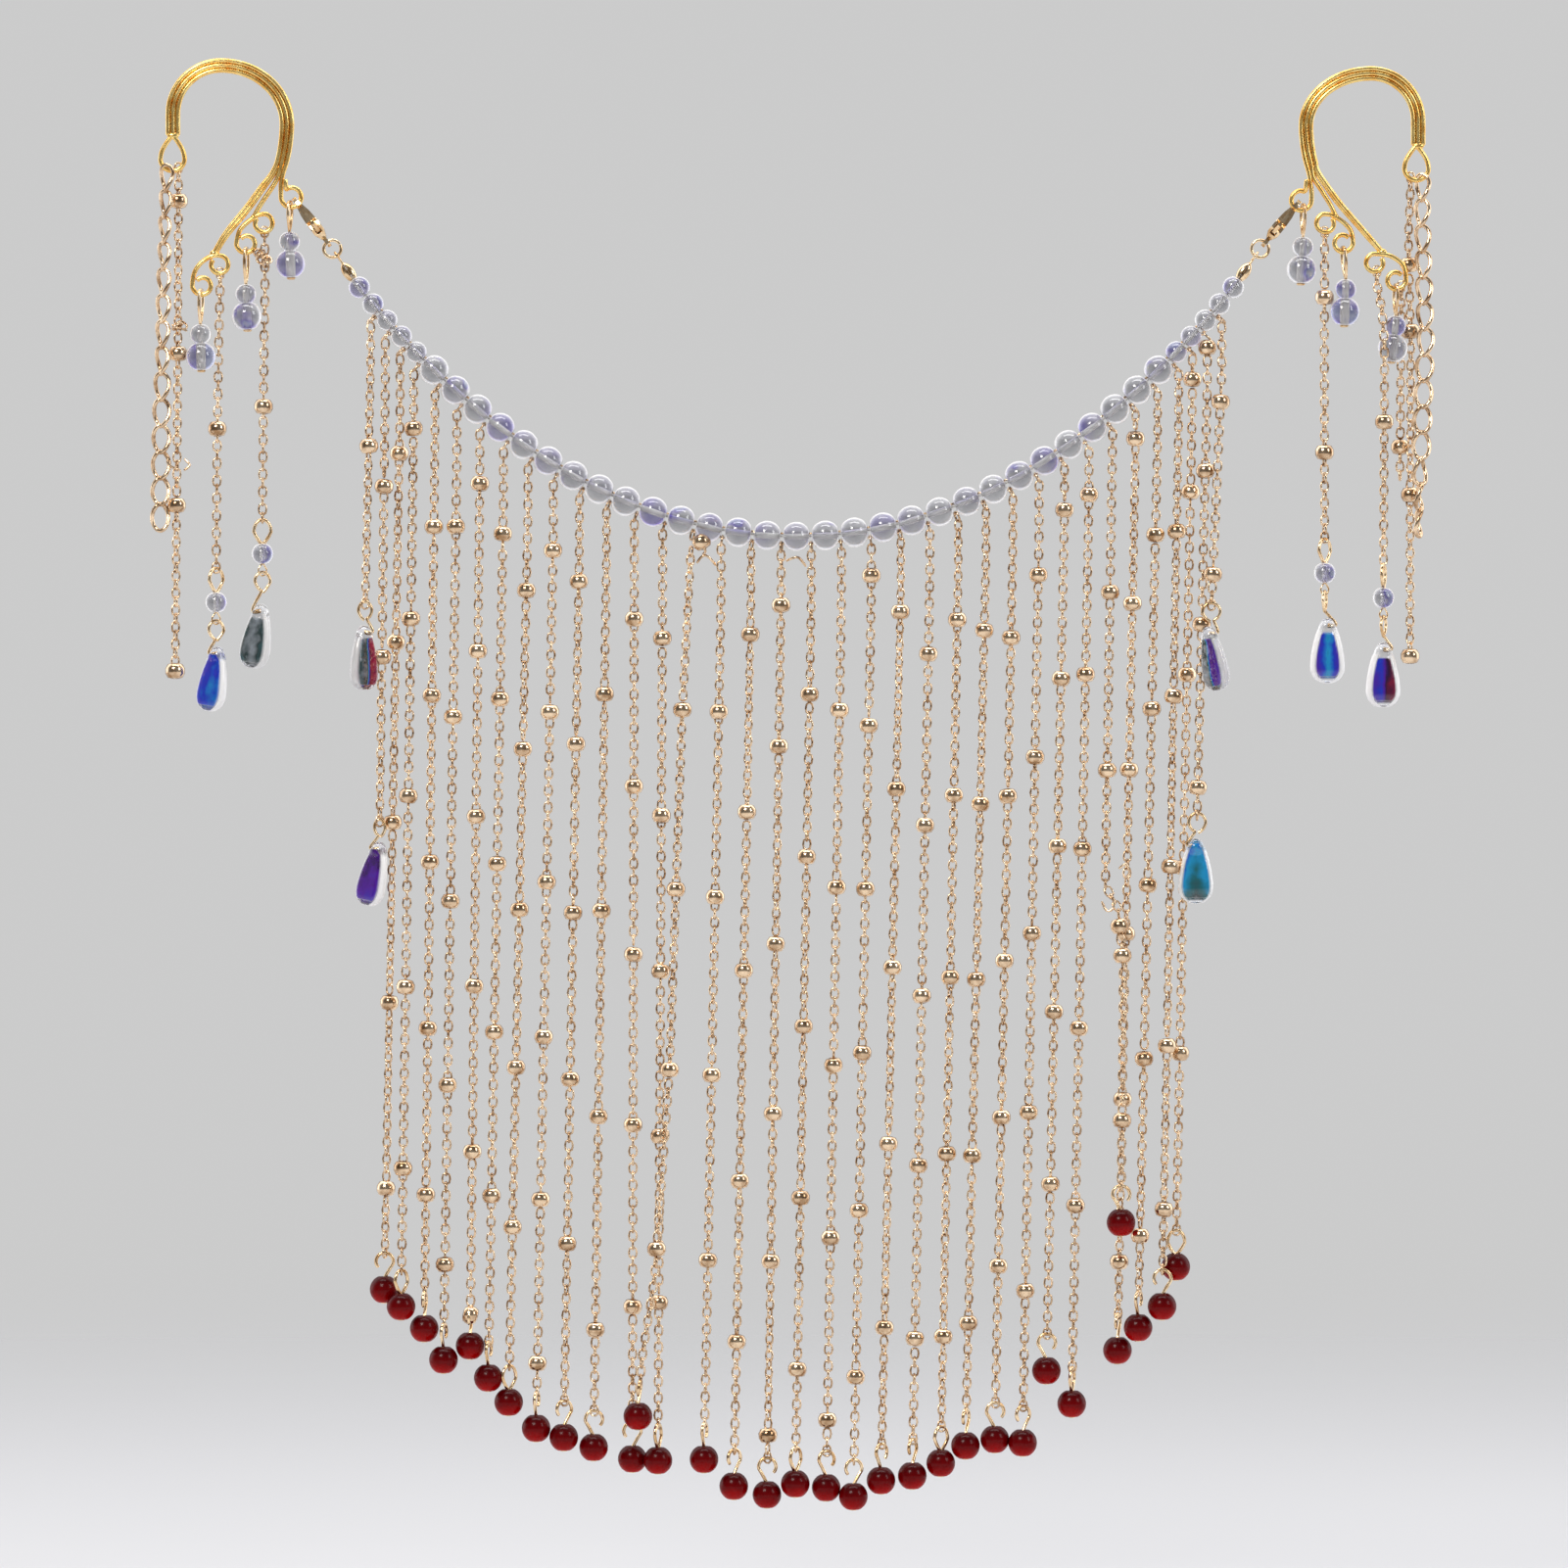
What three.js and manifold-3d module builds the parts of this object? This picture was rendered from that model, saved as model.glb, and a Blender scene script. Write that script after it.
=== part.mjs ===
// Face jewel: a string of glass beads between two ear hooks, with a fringe of fine bead chains.
// Millimetres, +Z up, +X to the wearer's left as seen from the front, the front faces -Y.
// The origin lies midway between the two ears, level with the seats of the ear hooks.
import * as THREE from 'three';
import { mergeVertices } from 'three/addons/utils/BufferGeometryUtils.js';
import Module from 'manifold-3d';

const wasm = await Module();
wasm.setup();

const clearance = 0.3;

// Bead string, hung as a catenary between the two clasps.
const stringShape = { low: -103.6, sagScale: 94.2, threadR: 0.3 };
const beadKinds = {
  small: { r: 2.5, pitch: 4.84, length: 4.2 },
  large: { r: 3.4, pitch: 6.56, length: 5.6 },
};
const smallPerEnd = 5;
const largeBeads = 29;
const beadSides = 10;
const beadTip = { r: 1.5, length: 3.6, eyeR: 0.95, eyeWire: 0.28 };

// Fringe strand: a chain tube under the gap between two beads, and what hangs at its end.
const chain = { r: 0.95, sides: 8, neckR: 0.25, neckFrom: 1.1, reach: 2.7, shoulder: 11 };
const ball = { r: 3.1 };
const drop = { length: 14.7, width: 7.6, depth: 4.6, holeBelowTop: 2.6 };
// gap: the string gap it hangs from, drop: thread to the middle of the end bead, lean: sideways shift
// of the end, depth: shift of the end towards the back, via: bends of a strand that doesn't hang plumb.
const strandRows = [
  { gap: 2, drop: 77.6, lean: -3.5, depth: -2.6, end: 'teardrop', tilt: 0 },
  { gap: 3, drop: 122.6, lean: -3.4, depth: 0, end: 'teardrop', tilt: -12 },
  { gap: 4, drop: 212.4, lean: -5.6, depth: 2.4, end: 'ball' },
  { gap: 5, drop: 212.5, lean: -5.1, depth: -1.4, end: 'ball' },
  { gap: 6, drop: 213.0, lean: -4.6, depth: 0.6, end: 'ball' },
  { gap: 7, drop: 215.6, lean: -5.1, depth: -0.6, end: 'ball' },
  { gap: 8, drop: 208.3, lean: -4.2, depth: 0.6, end: 'ball' },
  { gap: 9, drop: 211.5, lean: -5.3, depth: 0, end: 'ball' },
  { gap: 10, drop: 213.2, lean: -6.1, depth: 0, end: 'ball' },
  { gap: 11, drop: 215.6, lean: -5.5, depth: 0.5, end: 'ball' },
  { gap: 12, drop: 214.4, lean: -5.0, depth: -0.5, end: 'ball' },
  { gap: 13, drop: 213.8, lean: -4.2, depth: 0, end: 'ball' },
  { gap: 14, drop: 214.0, lean: -1.6, depth: 2.3, end: 'ball' },
  { gap: 15, drop: 212.0, lean: -2.0, depth: -0.6, end: 'ball' },
  { gap: 16, drop: 200.2, lean: -12.8, depth: -2.4, end: 'ball',
    via: [[-25.6, -1, -143], [-28.4, -2.9, -223], [-31.8, -3.5, -270], [-34.6, -3.6, -288]] },
  { gap: 17, drop: 208.7, lean: -4.4, depth: 0, end: 'ball' },
  { gap: 18, drop: 213.8, lean: -4.2, depth: 0, end: 'ball' },
  { gap: 19, drop: 215.3, lean: -3.3, depth: 0.5, end: 'ball' },
  { gap: 20, drop: 212.8, lean: -3.5, depth: -0.5, end: 'ball' },
  { gap: 21, drop: 214.2, lean: -3.1, depth: 0.6, end: 'ball' },
  { gap: 22, drop: 217.0, lean: -3.5, depth: -0.6, end: 'ball' },
  { gap: 23, drop: 214.8, lean: -3.7, depth: 0, end: 'ball' },
  { gap: 24, drop: 215.5, lean: -3.0, depth: 0, end: 'ball' },
  { gap: 25, drop: 214.8, lean: -2.8, depth: 0, end: 'ball' },
  { gap: 26, drop: 213.4, lean: -3.3, depth: 0, end: 'ball' },
  { gap: 27, drop: 214.9, lean: -2.6, depth: 0.5, end: 'ball' },
  { gap: 28, drop: 218.8, lean: -2.1, depth: -0.5, end: 'ball' },
  { gap: 29, drop: 206.1, lean: -2.3, depth: 0, end: 'ball' },
  { gap: 30, drop: 217.3, lean: -2.0, depth: 0, end: 'ball' },
  { gap: 31, drop: 180.5, lean: 3.8, depth: -2.2, end: 'ball',
    via: [[69.4, -0.6, -182], [72.2, -1.8, -187], [73.4, -2.2, -200]] },
  { gap: 32, drop: 213.6, lean: -1.9, depth: 2.2, end: 'ball' },
  { gap: 33, drop: 212.8, lean: -2.2, depth: 0, end: 'ball' },
  { gap: 34, drop: 212.5, lean: -1.5, depth: -1.2, end: 'ball' },
  { gap: 35, drop: 207.3, lean: -1.7, depth: 2.5, end: 'ball' },
  { gap: 36, drop: 121.8, lean: -0.6, depth: -1.2, end: 'teardrop', tilt: 0 },
  { gap: 37, drop: 77.9, lean: -0.3, depth: -3.2, end: 'teardrop', tilt: 10 },
];

// Ear hooks. Points are [x, z] of wire middles; side is 1 on the left and -1 on the right.
const hookWire = { r: 0.52, pitch: 1.1, sides: 5 };
const curl = { small: 2.15, large: 2.15, clasp: 2.1, back: 2.8 };
// Below the split the wires part: middle runs to the upper scroll, inner (two wires) to the lower one.
const hookRows = [
  { name: 'left', side: 1, top: [-129.2, 2.2], backLeg: -140.0, backFoot: -13.7, backLoop: [-140.1, -18.8],
    frontLeg: [-114.4, -11], split: [-115.9, -20.9], claspCurl: [-113.1, -27.4], curlB: [-119.7, -33.3],
    curlC: [-123.5, -37.8], curlD: [-129.6, -42.6], curlE: [-133.4, -47.2],
    middle: [[-116.8, -23.7], [-119.2, -27.4], [-121.2, -30.6], [-121.9, -32.4]],
    inner: [[-117.9, -22.6], [-121.3, -27.1], [-124.6, -31.5], [-128.2, -35.9], [-130.6, -40.4]],
    upperBack: [-123.6, -33.4], lowerBack: [-133.4, -41.9] },
  { name: 'right', side: -1, top: [129.1, 0.4], backLeg: 139.7, backFoot: -16.0, backLoop: [139.3, -20.9],
    frontLeg: [114.5, -11.4], split: [115.9, -20.9], claspCurl: [113.3, -28.0], curlB: [118.9, -33.3],
    curlC: [122.8, -37.6], curlD: [130.0, -42.2], curlE: [134.7, -46.0],
    middle: [[116.4, -23.5], [118.8, -27.2], [120.7, -30.6], [121.2, -32.2]],
    inner: [[117.6, -22.6], [120.7, -27.1], [124.3, -31.5], [128.2, -35.9], [131.4, -40.0]],
    upperBack: [122.9, -33.1], lowerBack: [134.6, -41.2] },
];

// Lobster clasp: u runs from the bar in the hook's curl to the tail eye, v across the claw.
const clasp = {
  barR: 0.5, barOffset: [0.45, -0.55], halfWidth: 2.8, wall: 1.2, thickness: 2.6, slot: 1.4,
  gateEnd: 1.7, pivot: [8.2, 1.75], pinR: 0.4, hubR: 1.0, hubHole: 0.62,
  leverThickness: 0.8, leverArm: 0.85, tailEye: 1.0, tailHole: 0.75,
};
const jumpRing = { r: 1.94, wire: 0.37 };

// What hangs on the hooks. curl names the ring that carries it, offset is the shift along its wire,
// path lists the chain's bends below the top eye as [x, y, z].
const eye = { width: 3.6, wire: 0.33, sides: 4 };
const crystalDrops = [
  { side: 'left', name: 'a', curl: 'claspCurl', shift: -0.8, eyeLength: 7.0, small: 2.4, large: 3.4, forward: 0 },
  { side: 'left', name: 'c', curl: 'curlC', shift: 0, eyeLength: 8.1, small: 2.45, large: 3.4, forward: 0 },
  { side: 'left', name: 'e', curl: 'curlE', shift: -0.3, eyeLength: 7.8, small: 2.45, large: 3.2, forward: 0 },
  { side: 'right', name: 'a', curl: 'claspCurl', shift: 0.6, eyeLength: 7.7, small: 2.4, large: 3.4, forward: 0 },
  { side: 'right', name: 'c', curl: 'curlC', shift: 0.4, eyeLength: 7.5, small: 2.4, large: 3.4, forward: 0 },
  { side: 'right', name: 'e', curl: 'curlE', shift: -0.3, eyeLength: 7.2, small: 2.4, large: 3.2, forward: 0 },
];
const hangingChains = [
  { name: 'teardrop_chain_b_left', side: 'left', curl: 'curlB', shift: 0.3, eyeLength: 3.6, r: 0.95,
    path: [[-119.4, 1.6, -50], [-119.6, 2.4, -56], [-119.7, 0.8, -75]], foot: [-119.9, 0, -100.2],
    crystal: -107.5, tear: { top: -117.6, x: -120.2, tilt: -9 } },
  { name: 'teardrop_chain_d_left', side: 'left', curl: 'curlD', shift: 0.2, eyeLength: 3.6, r: 0.95,
    path: [[-129.8, 2.2, -58], [-129.9, 2.6, -64], [-130.1, 1.0, -80]], foot: [-130.3, 0, -111.4],
    crystal: -118.4, tear: { top: -127.4, x: -130.0, tilt: -9 } },
  { name: 'teardrop_chain_b_right', side: 'right', curl: 'curlB', shift: -0.2, eyeLength: 3.6, r: 0.95,
    path: [[118.6, 0, -60]], foot: [118.7, 0, -104.6],
    crystal: -111.8, tear: { top: -121.5, x: 119.3, tilt: 3 } },
  { name: 'teardrop_chain_d_right', side: 'right', curl: 'curlD', shift: 0.4, eyeLength: 3.6, r: 0.95,
    path: [[131.4, -3.2, -53], [131.9, -4.0, -61], [132.0, -1.4, -74]], foot: [131.9, 0, -109.6],
    crystal: -116.8, tear: { top: -127.0, x: 131.8, tilt: 0 } },
  { name: 'satellite_chain_left', side: 'left', curl: 'backLoop', shift: 1.3, y: 0.7, eyeLength: 3.8, r: 0.95,
    path: [[-138.9, 0.6, -60]], foot: [-139.5, 0, -133.8], ball: { r: 2.2 } },
  { name: 'extension_chain_left', side: 'left', curl: 'backLoop', shift: -1.3, y: -0.7, eyeLength: 3.8, r: 1.5,
    path: [[-141.8, -0.6, -30], [-142.4, -0.6, -60]], foot: [-142.8, -0.6, -101.5] },
  { name: 'satellite_chain_right', side: 'right', curl: 'backLoop', shift: -1.3, y: 0.9, eyeLength: 3.8, r: 0.95,
    path: [[137.6, 1.7, -36], [138.2, 2.6, -60], [138.0, 1.8, -94]], foot: [137.9, 0.6, -130.5], ball: { r: 2.1 } },
  { name: 'extension_chain_right', side: 'right', curl: 'backLoop', shift: 1.3, y: -0.7, eyeLength: 3.8, r: 1.5,
    path: [[140.4, -1.8, -32], [141.2, -1.8, -60]], foot: [139.7, -1.8, -102.5] },
  { name: 'short_chain_right', side: 'right', curl: 'curlE', shift: 0.9, eyeLength: 3.6, r: 0.95,
    path: [[136.1, 3.4, -54.5], [136.3, 5.0, -60], [136.1, 5.0, -67]], foot: [135.8, 3.6, -90.5] },
];

const palette = {
  gold: { color: 0xd7a441, roughness: 0.24, metalness: 1 },
  paleGold: { color: 0xd9b073, roughness: 0.3, metalness: 1 },
  crystal: { color: 0xc9cfe6, roughness: 0.04, metalness: 0 },
};

// Solids and booleans.
function toSolid(geometry) {
  const bare = geometry.clone();
  bare.deleteAttribute('normal');
  bare.deleteAttribute('uv');
  const merged = mergeVertices(bare, 1e-5);
  return new wasm.Manifold(new wasm.Mesh({
    numProp: 3,
    vertProperties: new Float32Array(merged.attributes.position.array),
    triVerts: new Uint32Array(merged.index.array),
  }));
}

function toGeometry(solid) {
  const mesh = solid.getMesh();
  const geometry = new THREE.BufferGeometry();
  geometry.setAttribute('position', new THREE.BufferAttribute(new Float32Array(mesh.vertProperties), 3));
  geometry.setIndex(new THREE.BufferAttribute(new Uint32Array(mesh.triVerts), 1));
  geometry.computeVertexNormals();
  return geometry;
}

const join = (solids) => solids.reduce((all, next) => all.add(next));

// A path through knots, sampled exactly at them.
class KnotPath extends THREE.Curve {
  constructor(knots) {
    super();
    this.knots = knots;
  }
  getPoint(t, target = new THREE.Vector3()) {
    const last = this.knots.length - 1;
    const place = Math.min(Math.max(t, 0), 1) * last;
    const i = Math.min(Math.floor(place), last - 1);
    return target.copy(this.knots[i]).lerp(this.knots[i + 1], place - i);
  }
  getPointAt(u, target) {
    return this.getPoint(u, target);
  }
  getTangentAt(u, target = new THREE.Vector3()) {
    const last = this.knots.length - 1;
    const i = Math.round(u * last);
    const before = this.knots[Math.max(i - 1, 0)];
    const after = this.knots[Math.min(i + 1, last)];
    return target.copy(after).sub(before).normalize();
  }
}

function roundSection(r, sides) {
  const section = new THREE.Shape();
  for (let i = 0; i < sides; i += 1) {
    const angle = (i + 0.5) / sides * Math.PI * 2;
    section[i === 0 ? 'moveTo' : 'lineTo'](r * Math.cos(angle), r * Math.sin(angle));
  }
  section.closePath();
  return section;
}

function alongPath(section, knots) {
  return toSolid(new THREE.ExtrudeGeometry(section, {
    steps: knots.length - 1, bevelEnabled: false, extrudePath: new KnotPath(knots), curveSegments: 1,
  }));
}

const wire = (knots, r, sides) => alongPath(roundSection(r, sides), knots);
const at = (x, z, y = 0) => new THREE.Vector3(x, y, z);

// Points round a centre in the picture plane, from one angle to another, with a changing radius.
function turn(centre, fromDeg, toDeg, fromR, toR, count, side = 1) {
  return Array.from({ length: count + 1 }, (_, i) => {
    const t = i / count;
    const angle = THREE.MathUtils.degToRad(fromDeg + (toDeg - fromDeg) * t);
    const r = fromR + (toR - fromR) * t;
    return at(centre[0] + side * r * Math.cos(angle), centre[1] + r * Math.sin(angle));
  });
}

// A turned solid standing on the Z axis. Each row of the profile is [radius, height], from the top down.
function turned(profile) {
  const rows = [[0, profile[0][1]], ...profile, [0, profile.at(-1)[1]]].reverse();
  const body = new THREE.LatheGeometry(rows.map(([r, z]) => new THREE.Vector2(r, z)), beadSides);
  return body.rotateX(Math.PI / 2);
}

// A round bead with a small flat at each mouth of its hole.
const beadProfile = (r, z = 0) => [
  [r * 0.42, z + r * 0.9], [r * 0.95, z + r * 0.38], [r * 0.95, z - r * 0.38], [r * 0.42, z - r * 0.9],
];
const roundBead = (r, x, y, z) => toSolid(turned(beadProfile(r)).translate(x, y, z));

// Arc lengths along the string.
const endArc = (largeBeads - 1) / 2 * beadKinds.large.pitch
  + (beadKinds.large.pitch + beadKinds.small.pitch) / 2 + (smallPerEnd - 1) * beadKinds.small.pitch;

function beadArc(index) {
  const steps = Math.abs(index);
  const largeSteps = (largeBeads - 1) / 2;
  if (steps <= largeSteps) return index * beadKinds.large.pitch;
  const beyond = largeSteps * beadKinds.large.pitch + (beadKinds.large.pitch + beadKinds.small.pitch) / 2
    + (steps - largeSteps - 1) * beadKinds.small.pitch;
  return Math.sign(index) * beyond;
}

const beadKind = (index) => (Math.abs(index) > (largeBeads - 1) / 2 ? beadKinds.small : beadKinds.large);

// The middle of the gap after a bead, between the ends that face each other.
const gapArc = (index) => (
  beadArc(index) + beadKind(index).length / 2 + beadArc(index + 1) - beadKind(index + 1).length / 2) / 2;

function hangingLine(arc) {
  const x = stringShape.sagScale * Math.asinh(arc / stringShape.sagScale);
  const slope = Math.sinh(x / stringShape.sagScale);
  const z = stringShape.low + stringShape.sagScale * (Math.cosh(x / stringShape.sagScale) - 1);
  return { x, z, tangent: new THREE.Vector2(1, slope).normalize() };
}

// Where things meet at each end: the clasp's bar, the jump ring and the eye of the bead tip.
function fastening(hook) {
  const { side } = hook;
  const bar = new THREE.Vector2(hook.claspCurl[0] + side * clasp.barOffset[0], hook.claspCurl[1] + clasp.barOffset[1]);
  const ring = new THREE.Vector2(side * -104.2, -39.0);
  const lastBead = hangingLine(-side * endArc);
  const away = ring.clone().sub(bar).normalize();
  const toBead = new THREE.Vector2(lastBead.x, lastBead.z).sub(ring).normalize();
  return {
    bar, ring, away,
    tail: ring.clone().addScaledVector(away, -jumpRing.r),
    tipEye: ring.clone().addScaledVector(toBead, jumpRing.r),
    lastBead,
  };
}

const hooks = Object.fromEntries(hookRows.map((row) => [row.name, row]));

// The string is turned as one straight profile and then bent along its hanging line.
function beadString() {
  const ends = { '-1': fastening(hooks.left), 1: fastening(hooks.right) };
  const reach = (sign) => {
    const { tipEye, lastBead } = ends[sign];
    return endArc + Math.hypot(tipEye.x - lastBead.x, tipEye.y - lastBead.z) - beadTip.eyeR;
  };
  const profile = [new THREE.Vector2(0, -reach(-1))];
  const add = (arc, r) => profile.push(new THREE.Vector2(r, arc));
  const tip = (sign) => {
    const inner = endArc + beadKinds.small.length / 2 + clearance;
    const outer = reach(sign);
    const rings = [[outer, 0.45], [outer - 0.9, 0.5], [outer - 1.6, beadTip.r], [inner + 0.6, beadTip.r], [inner, 0.7]];
    return sign < 0 ? rings.map(([arc, r]) => [-arc, r]) : rings.reverse();
  };
  tip(-1).forEach(([arc, r]) => add(arc, r));
  const half = (largeBeads - 1) / 2 + smallPerEnd;
  add(beadArc(-half) - beadKinds.small.length / 2, stringShape.threadR);
  for (let index = -half; index <= half; index += 1) {
    const kind = beadKind(index);
    const middle = beadArc(index);
    add(middle - kind.length * 0.24, kind.r * 0.97);
    add(middle + kind.length * 0.24, kind.r * 0.97);
    if (index < half) add(gapArc(index), stringShape.threadR);
  }
  add(beadArc(half) + beadKinds.small.length / 2, stringShape.threadR);
  tip(1).forEach(([arc, r]) => add(arc, r));
  profile.push(new THREE.Vector2(0, reach(1)));

  const straight = new THREE.LatheGeometry(profile, beadSides);
  const position = straight.attributes.position;
  for (let i = 0; i < position.count; i += 1) {
    const arc = position.getY(i);
    const out = position.getX(i);
    const across = position.getZ(i);
    const sign = Math.sign(arc);
    let { x, z, tangent } = hangingLine(THREE.MathUtils.clamp(arc, -endArc, endArc));
    const beyond = Math.abs(arc) - endArc;
    if (beyond > 0) {
      const { tipEye, lastBead } = ends[sign];
      const onward = new THREE.Vector2(tipEye.x - lastBead.x, tipEye.y - lastBead.z).normalize();
      x += onward.x * beyond;
      z += onward.y * beyond;
      tangent = onward.multiplyScalar(sign);
    }
    position.setXYZ(i, x - tangent.y * out, across, z + tangent.x * out);
  }
  const solid = toSolid(straight);
  return join([solid, tipEyeRing(ends[-1]), tipEyeRing(ends[1])]);
}

// The ring of a bead tip stands across the picture plane, round the jump ring's wire.
function tipEyeRing({ tipEye, lastBead }) {
  const ring = new THREE.TorusGeometry(beadTip.eyeR, beadTip.eyeWire, 5, 8);
  const line = new THREE.Vector3(tipEye.x - lastBead.x, 0, tipEye.y - lastBead.z).normalize();
  const back = new THREE.Vector3(0, 1, 0);
  ring.applyMatrix4(new THREE.Matrix4().makeBasis(line, back, line.clone().cross(back)));
  return toSolid(ring.translate(tipEye.x, 0, tipEye.y));
}

function teardrop(x, y, topZ, tiltDeg) {
  const half = drop.width / 2;
  const body = turned([
    [0.28, 0], [0.6, -0.28], [1, -0.64], [0.78, -0.9], [0.3, -1],
  ].map(([r, z]) => [r * half, z * drop.length]));
  body.scale(1, drop.depth / drop.width, 1);
  body.translate(0, 0, drop.holeBelowTop);
  body.rotateY(THREE.MathUtils.degToRad(-tiltDeg));
  return toSolid(body.translate(x, y, topZ - drop.holeBelowTop));
}

// The chain starts where the two beads' sides end, straight out from the string, and hangs from there.
function strand(row) {
  const above = row.gap - 20;
  const { x, z, tangent } = hangingLine(gapArc(above));
  const outFrom = (distance) => at(x + tangent.y * distance, z - tangent.x * distance);
  const reach = Math.max(beadKind(above).r - 0.2, beadKind(above + 1).r - 0.2, chain.reach);
  const top = outFrom(reach);
  const foot = at(x + row.lean, z - row.drop, row.depth);
  const isBall = row.end === 'ball';
  const end = isBall ? foot : at(foot.x, foot.z + drop.length / 2 - 1.6, foot.y);
  const bends = row.via ? row.via.map(([bx, by, bz]) => at(bx, bz, by))
    : [at(top.x, top.z - chain.shoulder, row.depth * 0.6)];
  const tube = wire([top, ...bends, end], chain.r, chain.sides);
  const neck = wire([outFrom(chain.neckFrom), outFrom(reach + 0.4)], chain.neckR, 5);
  const pendant = isBall
    ? roundBead(ball.r, foot.x, foot.y, foot.z)
    : teardrop(foot.x, foot.y, foot.z + drop.length / 2, row.tilt);
  return join([tube, neck, pendant]);
}

// The hooks' three wires lie side by side: one section with a groove between each two.
function bundleSection(wires) {
  const first = -(wires - 1) / 2 * hookWire.pitch;
  const outline = [[first - hookWire.r, 0]];
  for (let i = 0; i < wires; i += 1) {
    const middle = first + i * hookWire.pitch;
    outline.push([middle, hookWire.r]);
    if (i < wires - 1) outline.push([middle + hookWire.pitch / 2, hookWire.r * 0.6]);
  }
  outline.push([-first + hookWire.r, 0]);
  const lower = outline.slice(1, -1).reverse().map(([a, b]) => [a, -b]);
  return new THREE.Shape([...outline, ...lower].map(([a, b]) => new THREE.Vector2(b, a)).reverse());
}

function archKnots(row) {
  const [topX, topZ] = row.top;
  const { side } = row;
  const backWidth = Math.abs(row.backLeg - topX);
  const frontWidth = Math.abs(row.frontLeg[0] - topX);
  const backCentre = topZ - backWidth;
  const frontHeight = topZ - row.frontLeg[1];
  const knots = [at(row.backLeg, row.backFoot + 0.4)];
  for (let deg = 180; deg >= 0; deg -= 22.5) {
    const angle = THREE.MathUtils.degToRad(deg);
    const back = deg > 90;
    knots.push(at(
      topX + side * Math.cos(angle) * (back ? backWidth : frontWidth),
      back ? backCentre + Math.sin(angle) * backWidth : row.frontLeg[1] + Math.sin(angle) * frontHeight,
    ));
  }
  knots.push(at(...row.split));
  return knots;
}

// Two curls joined by one back, both turning inwards.
function scroll(upper, back, lower, r, side) {
  return wire([
    ...turn(upper, 190, 480, r * 0.94, r, 6, side),
    at(...back),
    ...turn(lower, 150, 455, r * 1.06, r * 0.8, 9, side),
  ], hookWire.r, hookWire.sides);
}

function earHook(row) {
  const { side } = row;
  const [splitX, splitZ] = row.split;
  const shift = (k) => splitX + side * k * hookWire.pitch;
  const outer = wire([
    at(shift(1), splitZ + 1.5), at(shift(0.8), splitZ - 1.5),
    ...turn(row.claspCurl, 180, 480, curl.clasp, curl.clasp, 8, side),
  ], hookWire.r, hookWire.sides);
  const onward = (start, points) => [at(shift(start), splitZ + 1.5), ...points.map(([x, z]) => at(x, z))];
  const middle = wire(onward(0, row.middle), hookWire.r, hookWire.sides);
  const inner = alongPath(bundleSection(2), onward(-0.9, row.inner));
  const back = new THREE.TorusGeometry(curl.back, hookWire.r, hookWire.sides, 10);
  back.rotateX(Math.PI / 2);
  const loopRise = row.backFoot - row.backLoop[1];
  const position = back.attributes.position;
  for (let i = 0; i < position.count; i += 1) {
    const up = position.getZ(i);
    if (up > 0) {
      const grown = up * loopRise / curl.back;
      position.setX(i, position.getX(i) * (1 - 0.55 * Math.pow(up / (curl.back + hookWire.r), 2)));
      position.setZ(i, grown);
    }
  }
  back.translate(row.backLoop[0], 0, row.backLoop[1]);
  return join([
    alongPath(bundleSection(3), archKnots(row)), outer, middle, inner,
    scroll(row.curlB, row.upperBack, row.curlC, curl.small, side),
    scroll(row.curlD, row.lowerBack, row.curlE, curl.large, side),
    toSolid(back),
  ]);
}

// Claw and lever are drawn flat in u and v, then set standing across the picture plane.
function claspFrame(hook) {
  const { bar, away, tail } = fastening(hook);
  const along = new THREE.Vector3(away.x, 0, away.y);
  const across = new THREE.Vector3(0, -1, 0);
  const through = new THREE.Vector3().crossVectors(along, across);
  const frame = new THREE.Matrix4().makeBasis(along, across, through).setPosition(bar.x, 0, bar.y);
  return { frame, length: tail.distanceTo(bar) };
}

function plate(outline, holes, thickness) {
  const shape = new THREE.Shape(outline.map(([u, v]) => new THREE.Vector2(u, v)));
  holes.forEach((hole) => shape.holes.push(new THREE.Path(hole.map(([u, v]) => new THREE.Vector2(u, v)))));
  const geometry = new THREE.ExtrudeGeometry(shape, { depth: thickness, bevelEnabled: false, curveSegments: 1 });
  return toSolid(geometry.translate(0, 0, -thickness / 2));
}

function ringOutline(u, v, r, sides) {
  return Array.from({ length: sides }, (_, i) => {
    const angle = (i + 0.5) / sides * Math.PI * 2;
    return [u + r * Math.cos(angle), v + r * Math.sin(angle)];
  });
}

function placed(solid, frame) {
  const geometry = toGeometry(solid);
  geometry.applyMatrix4(frame);
  return toSolid(geometry);
}

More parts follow.
